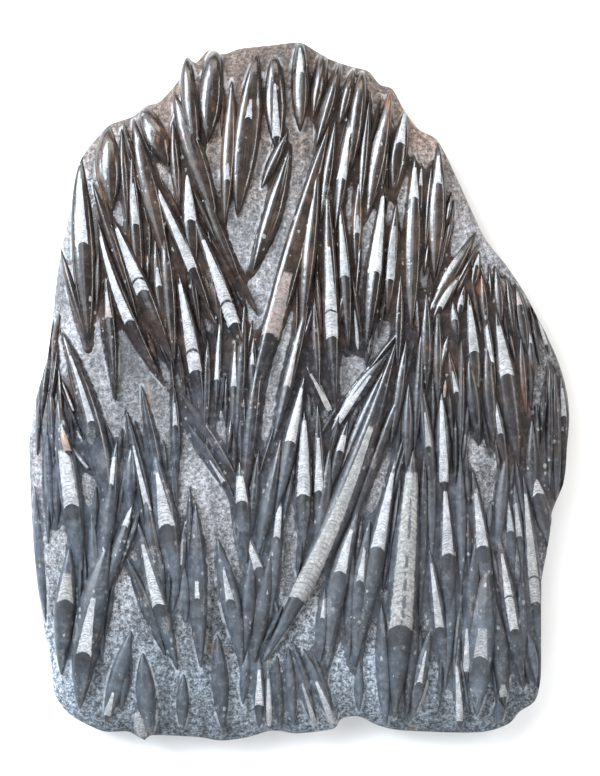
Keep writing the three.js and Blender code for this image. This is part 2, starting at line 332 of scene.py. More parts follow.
    Ridge(78, -140, 62, -305, 18, Cone(0.2, 0.42, 9), bow=-5),
    Ridge(106, -70, 60, -306, 22, Cone(0.08, 0.44, 16)), Ridge(90, -230, 96, -372, 18),
    Ridge(126, -60, 105, -362, 34, Cone(0.09, 0.67, 27, Calcite.BUFF, tip_width=15, siphuncle=1.0)),
    Ridge(128, -220, 118, -366, 16), Ridge(144, -262, 124, -362, 16, Cone(0.22, 0.58, 6)),
    Ridge(138, -60, 132, -250, 14), Ridge(146, -40, 146, -190, 12),
    Ridge(142, -170, 162, -320, 16, Cone(0.12, 0.6, 10)),
    Ridge(160, -100, 166, -262, 20, Cone(0.03, 0.5, 14)), Ridge(170, -180, 160, -330, 14),
    Ridge(172, -288, 178, -376, 13, Cone(0.15, 0.88, 10)), Ridge(176, -60, 178, -220, 14),
    Ridge(184, -240, 184, -322, 13, Cone(0.24, 0.85, 9)), Ridge(196, -150, 186, -290, 16),
    Ridge(206, -185, 195, -360, 30, Cone(0.42, 0.62, 16, Calcite.GREY, tip_width=9)),
    Ridge(190, -85, 212, -260, 18, Cone(0.15, 0.5, 14)), Ridge(204, -150, 222, -330, 14),
    Ridge(219, -338, 222, -368, 12),
    Ridge(216, -230, 226, -348, 20, Cone(0.77, 0.93, 16, Calcite.GREY)),
    Ridge(228, -60, 216, -180, 16),
    Ridge(228, -110, 236, -200, 12, Cone(0.12, 0.5, 8, Calcite.GREY)),
    Ridge(218, -150, 248, -332, 20, Cone(0.15, 0.42, 10, chunk_end=0.62)),
    Ridge(236, -95, 246, -205, 12, Cone(0.25, 0.6, 8, Calcite.GREY)),
    Ridge(244, -180, 246, -320, 14), Ridge(250, -262, 262, -322, 14),
    Ridge(246, -90, 268, -310, 18, Cone(0.1, 0.53, 12, Calcite.BUFF, chunk_end=0.66)),
    Ridge(262, -240, 266, -330, 12), Ridge(258, -90, 278, -175, 20, Cone(0.06, 0.3, 16)),
)

# Patches of ground paler (or, below 0, darker) than the rest: middle, half width, half length
# in millimetres, and by how much.
GROUND_PATCHES = (
    (-200, -245, 20, 45, 0.7), (-112, -95, 26, 30, 0.5), (-98, -185, 12, 60, 0.35),
    (-272, -315, 14, 45, 0.6), (-172, 30, 50, 55, -0.32), (190, 195, 45, 70, 0.45),
    (78, -320, 22, 55, 0.2), (-150, -340, 60, 35, -0.1), (-120, 290, 60, 60, 0.15),
    (-30, 160, 22, 60, -0.12), (95, -30, 30, 60, -0.15), (262, -20, 25, 60, -0.1),
)

# Corners of the rectangle that the blades are scattered over, in millimetres.
BLADE_AREA = ((-290, -360), (290, 375))


# ---- even noise over space ----

# Large odd numbers that scramble a lattice point's place, the seed and their sum.
PLACE_MIXERS = np.array([374761393, 668265263, 2246822519], np.uint32)
SEED_MIXER = np.uint32(3266489917)
LAST_MIXER = np.uint32(1274126177)


def lattice_values(cells: np.ndarray, seed: int) -> np.ndarray:
    """Gives each whole-numbered lattice point its own value.

    Args:
        cells: Lattice points, shape (n, 3).
        seed: Picks the pattern.

    Returns:
        Values between -1 and 1, shape (n,).
    """
    steps = cells.astype(np.int64).astype(np.uint32) * PLACE_MIXERS
    mixed = steps[:, 0] + steps[:, 1] + steps[:, 2] + np.uint32(seed) * SEED_MIXER
    mixed = (mixed ^ (mixed >> np.uint32(13))) * LAST_MIXER
    mixed = mixed ^ (mixed >> np.uint32(16))
    return mixed.astype(float) / 2**31 - 1.0


def smooth_noise(points: np.ndarray, cell: float, seed: int) -> np.ndarray:
    """Reads a smooth random field at points.

    Args:
        points: Places in millimetres, shape (n, 3).
        cell: Size of the field's features in millimetres.
        seed: Picks the pattern.

    Returns:
        Values between -1 and 1, shape (n,).
    """
    scaled = points / cell
    corner = np.floor(scaled)
    part = scaled - corner
    part = part * part * (3 - 2 * part)
    total = np.zeros(len(points))
    for step in np.ndindex(2, 2, 2):
        offset = np.array(step)
        weight = np.prod(np.where(offset, part, 1 - part), axis=1)
        total += weight * lattice_values(corner + offset, seed)
    return total


# ---- the slab's shape ----


@dataclass(frozen=True)
class Outline:
    """The slab's outline as a distance from the middle, smoothed between its corners.

    Attributes:
        corners: Points of the outline in millimetres.
        steps: Points put between two corners.
        slope: Slope at a corner, as a share of the way between its neighbours.
    """

    corners: tuple[tuple[float, float], ...] = OUTLINE
    steps: int = 6
    slope: float = 0.4

    def curve(self) -> np.ndarray:
        """Draws a smooth closed curve through the corners.

        Returns:
            Its points in millimetres, shape (n, 2).
        """
        here = np.array(self.corners, float)
        before, after, later = (np.roll(here, shift, axis=0) for shift in (1, -1, -2))
        parts = []
        for t in np.arange(self.steps) / self.steps:
            slope = self.slope * (after - before)
            next_slope = self.slope * (later - here)
            start = (2 * t**3 - 3 * t**2 + 1) * here + (t**3 - 2 * t**2 + t) * slope
            finish = (3 * t**2 - 2 * t**3) * after + (t**3 - t**2) * next_slope
            parts.append(start + finish)
        return np.stack(parts, axis=1).reshape(-1, 2)

    def reach(self, angle: np.ndarray) -> np.ndarray:
        """Distance from the middle to the outline.

        Args:
            angle: Headings in radians.

        Returns:
            Distances in millimetres, in the same shape.
        """
        curve = self.curve()
        angles = np.arctan2(curve[:, 1], curve[:, 0])
        order = np.argsort(angles)
        distances = np.hypot(curve[:, 0], curve[:, 1])[order]
        return np.interp(angle, angles[order], distances, period=2 * math.pi)


@dataclass(frozen=True)
class SlabShape:
    """Heights of the carved ground and the slope of the sides.

    Attributes:
        outline: The slab's outline.
        rim_height: Height of the widest line round the side.
        shoulder_rise: How far the ground climbs from the rim.
        shoulder_width: The distance over which it climbs.
        dome_rise: How much higher the middle is.
        foot_inset: How far the side tucks in at the back.
        edge_margin: How far inside the outline the ridges stop.
    """

    outline: Outline = field(default_factory=Outline)
    rim_height: float = 24.0
    shoulder_rise: float = 19.0
    shoulder_width: float = 48.0
    dome_rise: float = 8.0
    foot_inset: float = 7.0
    edge_margin: float = 1.2

    def height(self, x: np.ndarray, y: np.ndarray) -> np.ndarray:
        """Height of the ground.

        Args:
            x: Places across, in millimetres.
            y: Places along.

        Returns:
            Heights in millimetres.
        """
        radius = np.hypot(x, y)
        reach = self.outline.reach(np.arctan2(y, x))
        inset = np.clip((reach - radius) / self.shoulder_width, 0, 1)
        shoulder = self.shoulder_rise * np.sqrt(1 - (1 - inset) ** 2)
        dome = self.dome_rise * np.clip(1 - (radius / reach) ** 2, 0, 1)
        return self.rim_height + shoulder + dome

    def keep_inside(self, places: np.ndarray) -> np.ndarray:
        """Pulls places back inside the outline.

        Args:
            places: Points whose last axis starts with x and y.

        Returns:
            The points, moved towards the middle where they stuck out.
        """
        radius = np.hypot(places[..., 0], places[..., 1])
        limit = self.outline.reach(np.arctan2(places[..., 1], places[..., 0])) - self.edge_margin
        kept = places.copy()
        kept[..., :2] *= np.minimum(1, limit / np.maximum(radius, 1e-6))[..., None]
        return kept


@dataclass
class Surface:
    """A closed mesh in the making.

    Attributes:
        points: Vertices in millimetres, shape (n, 3).
        faces: Vertex numbers of each face.
        stones: The material number of each face.
        readings: Values at each vertex, by name, shape (n, 3) each.
    """

    points: np.ndarray
    faces: list[tuple[int, ...]]
    stones: list[int]
    readings: dict[str, np.ndarray] = field(default_factory=dict)


# Names of the values that the finishes read from the mesh.
READINGS = ("cone_place", "cone_look", "calcite_tint", "ridge_look", "ground_look")


def mesh_object(
    name: str, surface: Surface, materials: Sequence[bpy.types.Material]
) -> bpy.types.Object:
    """Makes a Blender object from a surface.

    Args:
        name: Name of the object and its mesh.
        surface: The shape, its faces' materials and its readings.
        materials: The slab's materials in the order of Stone.

    Returns:
        The object, not yet in a collection.
    """
    mesh = bpy.data.meshes.new(name)
    mesh.from_pydata((surface.points * MM).tolist(), [], surface.faces)
    for material in materials:
        mesh.materials.append(material)
    mesh.polygons.foreach_set("material_index", surface.stones)
    corners = np.zeros(len(mesh.loops), dtype=np.int32)
    mesh.loops.foreach_get("vertex_index", corners)
    for reading in READINGS:
        values = surface.readings.get(reading, np.zeros((len(surface.points), 3)))
        layer = mesh.attributes.new(reading, "FLOAT_VECTOR", "CORNER")
        layer.data.foreach_set("vector", values[corners].astype(np.float32).ravel())
    mesh.update()
    return bpy.data.objects.new(name, mesh)


@dataclass(frozen=True)
class Closeness:
    """How closely the ridges crowd a place on the ground.

    Attributes:
        ridges: Every ridge.
        fade: Distance from a ridge's foot over which its share fades, in millimetres.
        cleared: How much less the ridges crowd where the carver cleared more, at both ends.
        upper_end: Heights along the slab over which the upper clearing sets in.
        lower_end: The same for the lower clearing.
    """

    ridges: tuple[Ridge, ...] = RIDGES
    fade: float = 5.5
    cleared: float = 0.42
    upper_end: tuple[float, float] = (90.0, 190.0)
    lower_end: tuple[float, float] = (-170.0, -260.0)

    def gaps(self, points: np.ndarray) -> np.ndarray:
        """Measures from places to the feet of all ridges.

        Args:
            points: Places in millimetres, x and y first, shape (n, 2) or (n, 3).

        Returns:
            Distances, 0 on a ridge, with a row for each ridge.
        """
        found = []
        for ridge in self.ridges:
            offset = points[:, :2] - ridge.top()
            t = offset @ ridge.run() / ridge.length() ** 2
            inner = np.clip(t, 0, 1)
            side = np.abs(offset @ ridge.across() - ridge.swing(inner))
            apart = np.maximum(side - 0.5 * ridge.width * ridge.share(inner), 0)
            beyond = np.abs(t - inner) * ridge.length()
            found.append(np.hypot(apart, beyond))
        return np.stack(found)

    def crowd(self, points: np.ndarray, gaps: np.ndarray) -> np.ndarray:
        """Adds up the shares of all ridges.

        Args:
            points: Places in millimetres, x and y first.
            gaps: Their distances to the ridges.

        Returns:
            About 1 at the foot of a lone ridge and more between ridges, shape (n,).
        """
        upper = np.interp(points[:, 1], self.upper_end, (0, 1))
        lower = np.interp(-points[:, 1], np.negative(self.lower_end), (0, 1))
        return np.exp(-gaps / self.fade).sum(axis=0) - self.cleared * (upper + lower)


@dataclass(frozen=True)
class Blades:
    """Thin blades of stone left standing between crowded ridges.

    Attributes:
        closeness: Where the ridges stand.
        tries: Places looked at.
        spacing: Least distance between the middles of two blades.
        crowd: Least closeness where a blade stands.
        clear: Least distance from the middle of a blade to a ridge's foot.
        lengths: Shortest and longest blade.
        widths: Narrowest and widest blade.
        turns: Least and greatest turn away from the ridge beside it.
        rise: Height as a share of the width.
    """

    closeness: Closeness = field(default_factory=Closeness)
    tries: int = 2600
    spacing: float = 11.0
    crowd: float = 0.98
    clear: float = 1.4
    lengths: tuple[float, float] = (34.0, 84.0)
    widths: tuple[float, float] = (5.0, 8.5)
    turns: tuple[float, float] = (-0.09, 0.09)
    rise: float = 0.8

    def choose(self) -> list[Ridge]:
        """Finds a place for each blade.

        Returns:
            The blades, each nearly in line with the ridge beside it.
        """
        chance = np.random.default_rng(Seed.BLADES)
        spots = chance.uniform(*BLADE_AREA, (self.tries, 2))
        gaps = self.closeness.gaps(spots)
        crowd = self.closeness.crowd(spots, gaps)
        free = gaps.min(axis=0) > self.clear
        middles = np.full((1, 2), np.inf)
        found = []
        for number in np.flatnonzero(free & (crowd > self.crowd)):
            spot = spots[number]
            if np.hypot(*(middles - spot).T).min() < self.spacing:
                continue
            beside = self.closeness.ridges[int(gaps[:, number].argmin())]
            turn = chance.uniform(*self.turns)
            along = beside.run() / beside.length() + turn * beside.across()
            half = 0.5 * chance.uniform(*self.lengths) * along
            width = chance.uniform(*self.widths)
            found.append(Ridge(*(spot - half), *(spot + half), width, rise=self.rise))
            middles = np.vstack([middles, spot])
        return found


@dataclass
class SlabBody:
    """The stone without its ridges: pecked ground, broken sides and sawn back.

    Attributes:
        shape: Heights and outline.
        cells: Grid cells across the ground, each way.
        rim_crowding: Power that draws the cells together towards the rim; 1 spaces them evenly.
        rim_fade: Share of the radius, at the rim, over which swells and pits fade out.
        swell: Height of the ground's slow swells, and their size.
        peck_depth: Depth of the chisel's pits.
        pits: Sizes of the small and the large pits.
        pit_level: How much of a pit's depth is below the ground's height.
        foot_fade: Distance over which the nearness to a ridge's foot fades.
        polished_between: Closeness of the ridges at which the ground starts to be smooth and is.
        smoothed: Share of the pits' depth that is lost there.
        side_chip: Depth of the breaks in the side.
        side_breaks: Sizes of the breaks and the small chips.
        side_levels: Heights of the rings down the side, as fractions of the rim height.
        tuck_power: Power of the curve in which the side tucks in.
        ledge: Unevenness of the rings down the side.
        closeness: How closely the ridges stand.
        valley_rise: How much higher the ground is between crowded ridges.
    """

    shape: SlabShape = field(default_factory=SlabShape)
    cells: int = 222
    rim_crowding: float = 1.25
    rim_fade: float = 0.025
    swell: tuple[float, float] = (1.3, 46.0)
    peck_depth: float = 0.75
    pits: tuple[float, float] = (3.4, 6.5)
    pit_level: float = 0.35
    foot_fade: float = 3.0
    polished_between: tuple[float, float] = (0.7, 1.2)
    smoothed: float = 0.8
    side_chip: float = 2.4
    side_breaks: tuple[float, float] = (34.0, 9.0)
    side_levels: tuple[float, ...] = (0.86, 0.7, 0.52, 0.34, 0.18, 0.07, 0.0)
    tuck_power: float = 2.2
    ledge: float = 1.1
    closeness: Closeness = field(default_factory=Closeness)
    valley_rise: float = 1.2

    def spread_square(self) -> tuple[np.ndarray, np.ndarray]:
        """Maps a square grid onto a disc without pinching it.

        Returns:
            Distances from 0 at the middle to 1 at the rim, and headings in radians, both flat.
        """
        steps = np.linspace(-1, 1, self.cells + 1)
        across, along = (side.ravel() for side in np.meshgrid(steps, steps))
        wide = np.abs(across) > np.abs(along)
        safe_across = np.where(across == 0, 1, across)
        safe_along = np.where(along == 0, 1, along)
        sideways = along / safe_across
        lengthwise = 2 - across / safe_along
        angle = math.pi / 4 * np.where(wide, sideways, lengthwise)
        radius = np.where(wide, across, along)
        return np.abs(radius), np.where(radius < 0, angle + math.pi, angle)

    def ground_points(self) -> tuple[np.ndarray, np.ndarray]:
        """Lays out the ground.

        Returns:
            Its vertices in millimetres, shape (n, 3), and how crowded, how close to a ridge's
            foot and how pale each is, also of shape (n, 3).
        """
        radius, angle = self.spread_square()
        angle = (angle + math.pi) % (2 * math.pi) - math.pi
        distance = (1 - (1 - radius) ** self.rim_crowding) * self.shape.outline.reach(angle)
        points = np.stack([distance * np.cos(angle), distance * np.sin(angle), 0 * angle], axis=1)
        points[:, 2] = self.shape.height(points[:, 0], points[:, 1])
        inside = np.clip((1 - radius) / self.rim_fade, 0, 1)
        height, size = self.swell
        swell = height * smooth_noise(points, size, Seed.SWELL)
        small, large = self.pits
        pits = 0.6 * smooth_noise(points, small, Seed.SMALL_PITS)
        pits = pits + 0.4 * smooth_noise(points, large, Seed.LARGE_PITS) - self.pit_level
        gaps = self.closeness.gaps(points)
        crowd = self.closeness.crowd(points, gaps)
        foot = np.exp(-gaps.min(axis=0) / self.foot_fade)
        pale = np.zeros(len(points))
        for x, y, wide, long, strength in GROUND_PATCHES:
            away = ((points[:, 0] - x) / wide) ** 2 + ((points[:, 1] - y) / long) ** 2
            pale += strength * np.exp(-away)
        polished = np.interp(crowd, self.polished_between, (0, 1))
        pits = self.peck_depth * pits * (1 - self.smoothed * polished)
        points[:, 2] += inside * (swell + pits + self.valley_rise * polished)
        return points, np.stack([crowd, foot, pale], axis=1)

    def rim_loop(self) -> list[int]:
        """Goes round the ground's edge.

        Returns:
            Numbers of the grid's edge vertices, counter-clockwise.
        """
        side = self.cells + 1
        low = list(range(side))
        right = [row * side + self.cells for row in range(1, side)]
        high = [self.cells * side + column for column in range(self.cells - 1, -1, -1)]
        left = [row * side for row in range(self.cells - 1, 0, -1)]
        return low + right + high + left

    def build(self) -> Surface:
        """Builds the closed body.

        Returns:
            The body, with its ground, side and back faces marked.
        """
        side = self.cells + 1
        ground, look = self.ground_points()
        points = [ground]
        faces = []
        for row in range(self.cells):
            for column in range(self.cells):
                first = row * side + column
                faces.append((first, first + 1, first + side + 1, first + side))
        stones = [Stone.GROUND.value] * len(faces)
        upper = self.rim_loop()
        rim = ground[upper]
        count = len(upper)
        start = len(ground)
        for level in self.side_levels:
            points.append(self.side_ring(rim, level))
            lower = list(range(start, start + count))
            start += count
            for i in range(count):
                following = (i + 1) % count
                faces.append((upper[following], upper[i], lower[i], lower[following]))
            upper = lower
        stones += [Stone.SIDE.value] * (count * len(self.side_levels))
        faces.append(tuple(reversed(upper)))
        stones.append(Stone.BACK.value)
        vertices = np.concatenate(points)
        look = np.concatenate([look, np.zeros((len(vertices) - len(look), 3))])
        return Surface(vertices, faces, stones, {"ground_look": look})

    def side_ring(self, rim: np.ndarray, level: float) -> np.ndarray:
        """One ring of the broken side.

        Args:
            rim: The ground's outer vertices.
            level: Height of the ring as a fraction of the rim height.

        Returns:
            Vertices of the ring in millimetres.
        """
        radius = np.hypot(rim[:, 0], rim[:, 1])
        tuck = self.shape.foot_inset * (1 - level) ** self.tuck_power
        ring = rim.copy()
        ring[:, 2] = self.shape.rim_height * level
        broad_size, fine_size = self.side_breaks
        broad = smooth_noise(ring * [1, 1, 1.6], broad_size, Seed.BREAKS)
        fine = smooth_noise(ring, fine_size, Seed.CHIPS)
        bulge = math.sin(math.pi * (1 - level)) ** 0.5
        chip = self.side_chip * (0.55 + 0.5 * broad + 0.25 * fine) * bulge
        if level > 0:
            ring[:, 2] += self.ledge * fine * level
        ring[:, :2] *= (1 - (tuck + chip) / radius)[:, None]
        return ring


# ---- one ridge ----


@dataclass
class RidgeCarver:
    """Makes the closed spindle of each ridge, with what its cone's pattern reads.

    Attributes:
        shape: The ground that the ridge stands on.
        stations: Rings along a ridge.
        arc_steps: Points over the polished part of a ring.
        evenness: How evenly the rings are spaced: 1 for even, less for closer at the tips.
        keel: Depth of the underside inside the slab.
        keel_share: Width of the underside as a share of the ridge's width.
        tip_share: Depth of the tips under the ground as a share of the keel's depth.
        roll: Least and greatest lean of a crest to the right, in radians.
        fossil_flat: Least and greatest flatness of a ridge with a cone.
        plain_flat: The same for a ridge without one.
        plain_width: Width in millimetres over which plain ridges get flatter.
        flatter: How much flatter each millimetre over it makes them.
        wander: Least and greatest sideways bend, as a share of the length.
        polish_wave: Height and size of the waves that the polishing left.
    """

    shape: SlabShape = field(default_factory=SlabShape)
    stations: int = 22
    arc_steps: int = 10
    evenness: float = 0.45
    keel: float = 9.0
    keel_share: float = 0.7
    tip_share: float = 0.25
    roll: tuple[float, float] = (-0.1, 0.45)
    fossil_flat: tuple[float, float] = (2.1, 2.6)
    plain_flat: tuple[float, float] = (1.5, 2.0)
    plain_width: float = 14.0
    flatter: float = 0.02
    wander: tuple[float, float] = (-0.006, 0.006)
    polish_wave: tuple[float, float] = (0.35, 13.0)

    def section(self, flat: float) -> np.ndarray:
        """Section of a ridge from its right foot over the crest to the left foot.

        Args:
            flat: 2 for a round section, less for a roof and more for a flat top.

        Returns:
            Shares of the half width and of the height, shape (n, 2).
        """
        angle = np.linspace(0, math.pi, self.arc_steps + 1)
        side = np.sign(np.cos(angle)) * np.abs(np.cos(angle)) ** (2 / flat)
        return np.stack([side, np.abs(np.sin(angle)) ** (2 / flat)], axis=1)

    def carve(self, ridge: Ridge, number: int) -> Surface:
        """Builds one ridge.

        Args:
            ridge: Its place, width and cone.
            number: Its place in the list, which settles its small irregularities.

        Returns:
            A closed spindle whose faces are all polished.
        """
        chance = np.random.default_rng(Seed.RIDGE + number)
        lean = chance.uniform(*self.roll)
        flat = chance.uniform(*(self.fossil_flat if ridge.cone else self.plain_flat))
        if not ridge.cone:
            flat += self.flatter * max(ridge.width - self.plain_width, 0)
        wander = chance.uniform(*self.wander)
        across = ridge.across()

        even = np.linspace(0, 1, self.stations + 1)
        t = (1 - self.evenness) * (1 - np.cos(math.pi * even)) / 2 + self.evenness * even
        share = ridge.share(t)
        swing = ridge.swing(t) + wander * ridge.length() * 4 * t * (1 - t)
        axis = ridge.top() + t[:, None] * ridge.run() + swing[:, None] * across
        section = self.section(flat)
        half = 0.5 * ridge.width * share
        lift = ridge.rise * ridge.width * np.sqrt(share)
        level = self.shape.height(*self.shape.keep_inside(axis).T)

        side = half[:, None] * section[:, 0]
        height = lift[:, None] * section[:, 1] * (1 + math.tan(lean) * section[:, 0])
        feet = half[:, None] * [-self.keel_share, self.keel_share]
        side = np.concatenate([side, feet], axis=1)
        sink = np.repeat(-self.keel * np.sqrt(share)[:, None], 2, axis=1)
        height = np.concatenate([height, sink], axis=1)
        plan = axis[:, None, :] + side[..., None] * across
        points = np.concatenate([plan, (level[:, None] + height)[..., None]], axis=2)
        points = self.shape.keep_inside(points)
        wave, size = self.polish_wave
        polish = smooth_noise(points.reshape(-1, 3), size, Seed.POLISH + number)
        points[..., 2] += wave * polish.reshape(side.shape)
        points[[0, -1], :, 2] = (level[[0, -1]] - self.tip_share * self.keel)[:, None]

        ring = side.shape[1]
        body = points[1:-1].reshape(-1, 3)
        vertices = np.concatenate([points[0, :1], body, points[-1, :1]])
        stones = [Stone.RIDGE.value] * (ring * self.stations)
        return Surface(vertices, self.faces(ring), stones, self.readings(ridge, number, t, side))

    def faces(self, ring: int) -> list[tuple[int, ...]]:
        """Faces of a spindle.

        Args:
            ring: Vertices in each ring.

        Returns:
            Quads between the rings and fans over both tips.
        """
        rings = self.stations - 1
        last = 1 + rings * ring
        found = []
        for i in range(ring):
            following = (i + 1) % ring
            found.append((0, 1 + following, 1 + i))
            for r in range(rings - 1):
                near = 1 + r * ring
                far = near + ring
                found.append((near + i, near + following, far + following, far + i))
            end = 1 + (rings - 1) * ring
            found.append((last, end + i, end + following))
        return found

    def readings(
        self, ridge: Ridge, number: int, t: np.ndarray, side: np.ndarray
    ) -> dict[str, np.ndarray]:
        """Works out where each vertex is on the ridge and on its cone.

        Args:
            ridge: The ridge.
            number: Its place in the list.
            t: Fractions of the length at the rings.
            side: Distances from the axis at each vertex of each ring.

        Returns:
            Values for the two tips and every ring vertex, by name.
        """
        t = np.repeat(t[:, None], side.shape[1], axis=1)
        length = ridge.length()
        own = (number * GOLDEN) % 1
        ridge_look = np.stack([np.full(t.shape, own), t * length * MM, side * MM], axis=2)
        place = np.full((*t.shape, 3), OFF_CONE)
        look = np.zeros((*t.shape, 3))
        tint = np.zeros((*t.shape, 3))
        cone = ridge.cone
        if cone:
            narrow, wide = cone.widths()
            end = cone.chunk_end or cone.end
            v = (t - cone.start) / (cone.end - cone.start)
            width = np.maximum(narrow + (wide - narrow) * np.clip(v, 0, 1), 0.3)
            place[..., 0] = side / (0.5 * width)
            place[..., 1] = (t - cone.start) * length / wide
            place[..., 2] = (end - t) * length / wide
            run = (cone.end - cone.start) * length
            growth = max(wide - narrow, 0.5)
            look[..., 0] = run / (CHAMBER_STEP * growth) * np.log(width / narrow)
            look[..., 0] += np.maximum(v - 1, 0) * run / (CHAMBER_STEP * wide)
            look[..., 1] = (end - cone.end) * length / wide if cone.chunk_end else NO_CHUNK
            look[..., 2] = cone.siphuncle
            tint[...] = cone.tint.value
        found = {"cone_place": place, "cone_look": look, "calcite_tint": tint, "ridge_look": ridge_look}
        return {name: self.without_end_rings(values) for name, values in found.items()}

    @staticmethod
    def without_end_rings(values: np.ndarray) -> np.ndarray:
        """Keeps one value for each tip and every value of the rings between them."""
        inner = values[1:-1].reshape(-1, 3)
        return np.concatenate([values[0, :1], inner, values[-1, :1]])


# ---- shader building ----

Socket = bpy.types.NodeSocket
Colour = tuple[float, float, float]


@dataclass(frozen=True, eq=False)
class Field:
    """A value that varies over the surface. Arithmetic on it adds nodes to its sheet.

    Attributes:
        sheet: The sheet that its nodes go in.
        socket: The socket that gives the value.
    """

    sheet: "Sheet"
    socket: Socket

    def __add__(self, other: "Feed") -> "Field":
        """The sum of two values."""
        return self.sheet.math("ADD", self, other)

    def __radd__(self, other: float) -> "Field":
        """A plain number and this value together."""
        return self + other

    def __sub__(self, other: "Feed") -> "Field":
        """The difference of two values."""
        return self.sheet.math("SUBTRACT", self, other)

    def __rsub__(self, other: float) -> "Field":
        """A plain number less this value."""
        return self.sheet.math("SUBTRACT", other, self)

    def __mul__(self, other: "Feed") -> "Field":
        """The product of two values."""
        return self.sheet.math("MULTIPLY", self, other)

    def __gt__(self, other: "Feed") -> "Field":
        """1 where this value is the greater, and 0 elsewhere."""
        return self.sheet.math("GREATER_THAN", self, other)

    def __lt__(self, other: "Feed") -> "Field":
        """1 where this value is the smaller, and 0 elsewhere."""
        return self.sheet.math("LESS_THAN", self, other)

    def __abs__(self) -> "Field":
        """The value without its sign."""
        return self.sheet.math("ABSOLUTE", self)

    def span(self, low: float, high: float, start: float = 0.0, end: float = 1.0) -> "Field":
        """Goes smoothly from start to end while this number goes from low to high."""
        inputs = {"Value": self, "From Min": low, "From Max": high, "To Min": start, "To Max": end}
        return self.sheet.field("MapRange", inputs, interpolation_type="SMOOTHSTEP")

    def ramp(self, stops: Iterable[tuple[float, Colour]]) -> "Field":
        """Turns this number into a colour.

        Args:
            stops: Numbers from 0 to 1 and their colours, with those of 0 and 1 first.

        Returns:
            The colour.
        """
        node = self.sheet.add("ValToRGB", {0: self})
        elements = node.color_ramp.elements
        for index, (at, colour) in enumerate(stops):
            element = elements[index] if index < 2 else elements.new(at)
            element.position = at
            element.color = (*colour, 1.0)
        return Field(self.sheet, node.outputs[0])

    def towards(self, colour: "Feed", share: "Feed") -> "Field":
        """This colour with a share of another in its place."""
        return self.sheet.field("Mix", {0: share, 6: self, 7: colour}, 2, data_type="RGBA")

    def tinted(self, tint: Colour) -> "Field":
        """This colour times another."""
        inputs = {0: 1.0, 6: self, 7: tint}
        return self.sheet.field("Mix", inputs, 2, data_type="RGBA", blend_type="MULTIPLY")

    def shaded(self, by: "Feed") -> "Field":
        """This colour times a number."""
        return self.sheet.field("VectorMath", {0: self, "Scale": by}, operation="SCALE")

    def parts(self) -> tuple["Field", "Field", "Field"]:
        """The three numbers of this place."""
        node = self.sheet.add("SeparateXYZ", {0: self})
        return tuple(Field(self.sheet, socket) for socket in node.outputs)

    def stretch(self, *factors: float) -> "Field":
        """This place with each of its three numbers scaled."""
        return self.sheet.field("VectorMath", {0: self, 1: factors}, operation="MULTIPLY")

    def noise(self, scale: "Feed", detail: float = 2.0, rough: float = 0.5) -> "Field":
        """Noise about 0.5, read at this place."""
        inputs = {"Vector": self, "Scale": scale, "Detail": detail, "Roughness": rough}
        return self.sheet.field("TexNoise", inputs, "Fac")

    def cells(self, scale: float) -> tuple["Field", "Field"]:
        """Distance from this place to the nearest of scattered points, and that point's colour."""
        node = self.sheet.add("TexVoronoi", {"Vector": self, "Scale": scale})
        return Field(self.sheet, node.outputs["Distance"]), Field(self.sheet, node.outputs["Color"])

    def bump(self, distance: float, strength: float, onto: "Field | None" = None) -> "Field":
        """Turns this height into a normal.

        Args:
            distance: How far in metres a height of 1 sticks out.
            strength: How much of it shows.
            onto: A normal that it is laid over, or None.

        Returns:
            The normal.
        """
        inputs = {"Distance": distance, "Strength": strength, "Height": self}
        if onto is not None:
            inputs["Normal"] = onto
        return self.sheet.field("Bump", inputs, "Normal")


Feed = Field | float | Sequence[float]


@dataclass(frozen=True)
class Sheet:
    """Adds and wires the nodes of one material or node group.

    Attributes:
        tree: The tree that the nodes go in.
    """

    tree: bpy.types.NodeTree

    def feed(self, socket: Socket, value: Feed) -> None:
        """Links a socket to a value that varies, or sets it to a number or a colour.

        Args:
            socket: An input socket.
            value: What it takes.
        """
        if isinstance(value, Field):
            self.tree.links.new(value.socket, socket)
        elif socket.type == "RGBA":
            socket.default_value = (*value, 1.0)
        else:
            socket.default_value = value

    def add(self, kind: str, inputs: dict[str | int, Feed], **settings: object) -> bpy.types.Node:
        """Adds a node.

        Args:
            kind: Its type, without the words ShaderNode in front.
            inputs: What its inputs take, by name or number.
            settings: Its properties.

        Returns:
            The node.
        """
        node = self.tree.nodes.new("ShaderNode" + kind)
        for name, value in settings.items():
            setattr(node, name, value)
        for name, value in inputs.items():
            self.feed(node.inputs[name], value)
        return node

    def field(
        self, kind: str, inputs: dict[str | int, Feed], output: str | int = 0, **settings: object
    ) -> Field:
        """Adds a node and reads one of its outputs."""
        return Field(self, self.add(kind, inputs, **settings).outputs[output])

    def math(self, operation: str, first: Feed, second: Feed = 0.0, clamp: bool = False) -> Field:
        """Puts one or two numbers through a Math node."""
        return self.field("Math", {0: first, 1: second}, operation=operation, use_clamp=clamp)

    def place(self) -> Field:
        """The place on the object in metres."""
        return self.field("TexCoord", {}, "Object")

    def reading(self, name: str) -> Field:
        """One of the mesh's own values."""
        return self.field("Attribute", {}, "Vector", attribute_name=name)


class Effect(Enum):
    """Effects that more than one finish uses: group name, inputs after the place, and outputs."""

    LIMESTONE = ("limestone_tone", ("Seed",), ("Color",))
    POLISHED = ("polished_stone", ("Seed",), ("Color", "Roughness"))
    GRAIN = ("crystal_grain", ("Scale", "Contrast"), ("Mask", "Height"))
    STAIN = ("iron_stain", ("Spread",), ("Mask",))
    FLECKS = ("calcite_flecks", ("Amount",), ("Mask",))


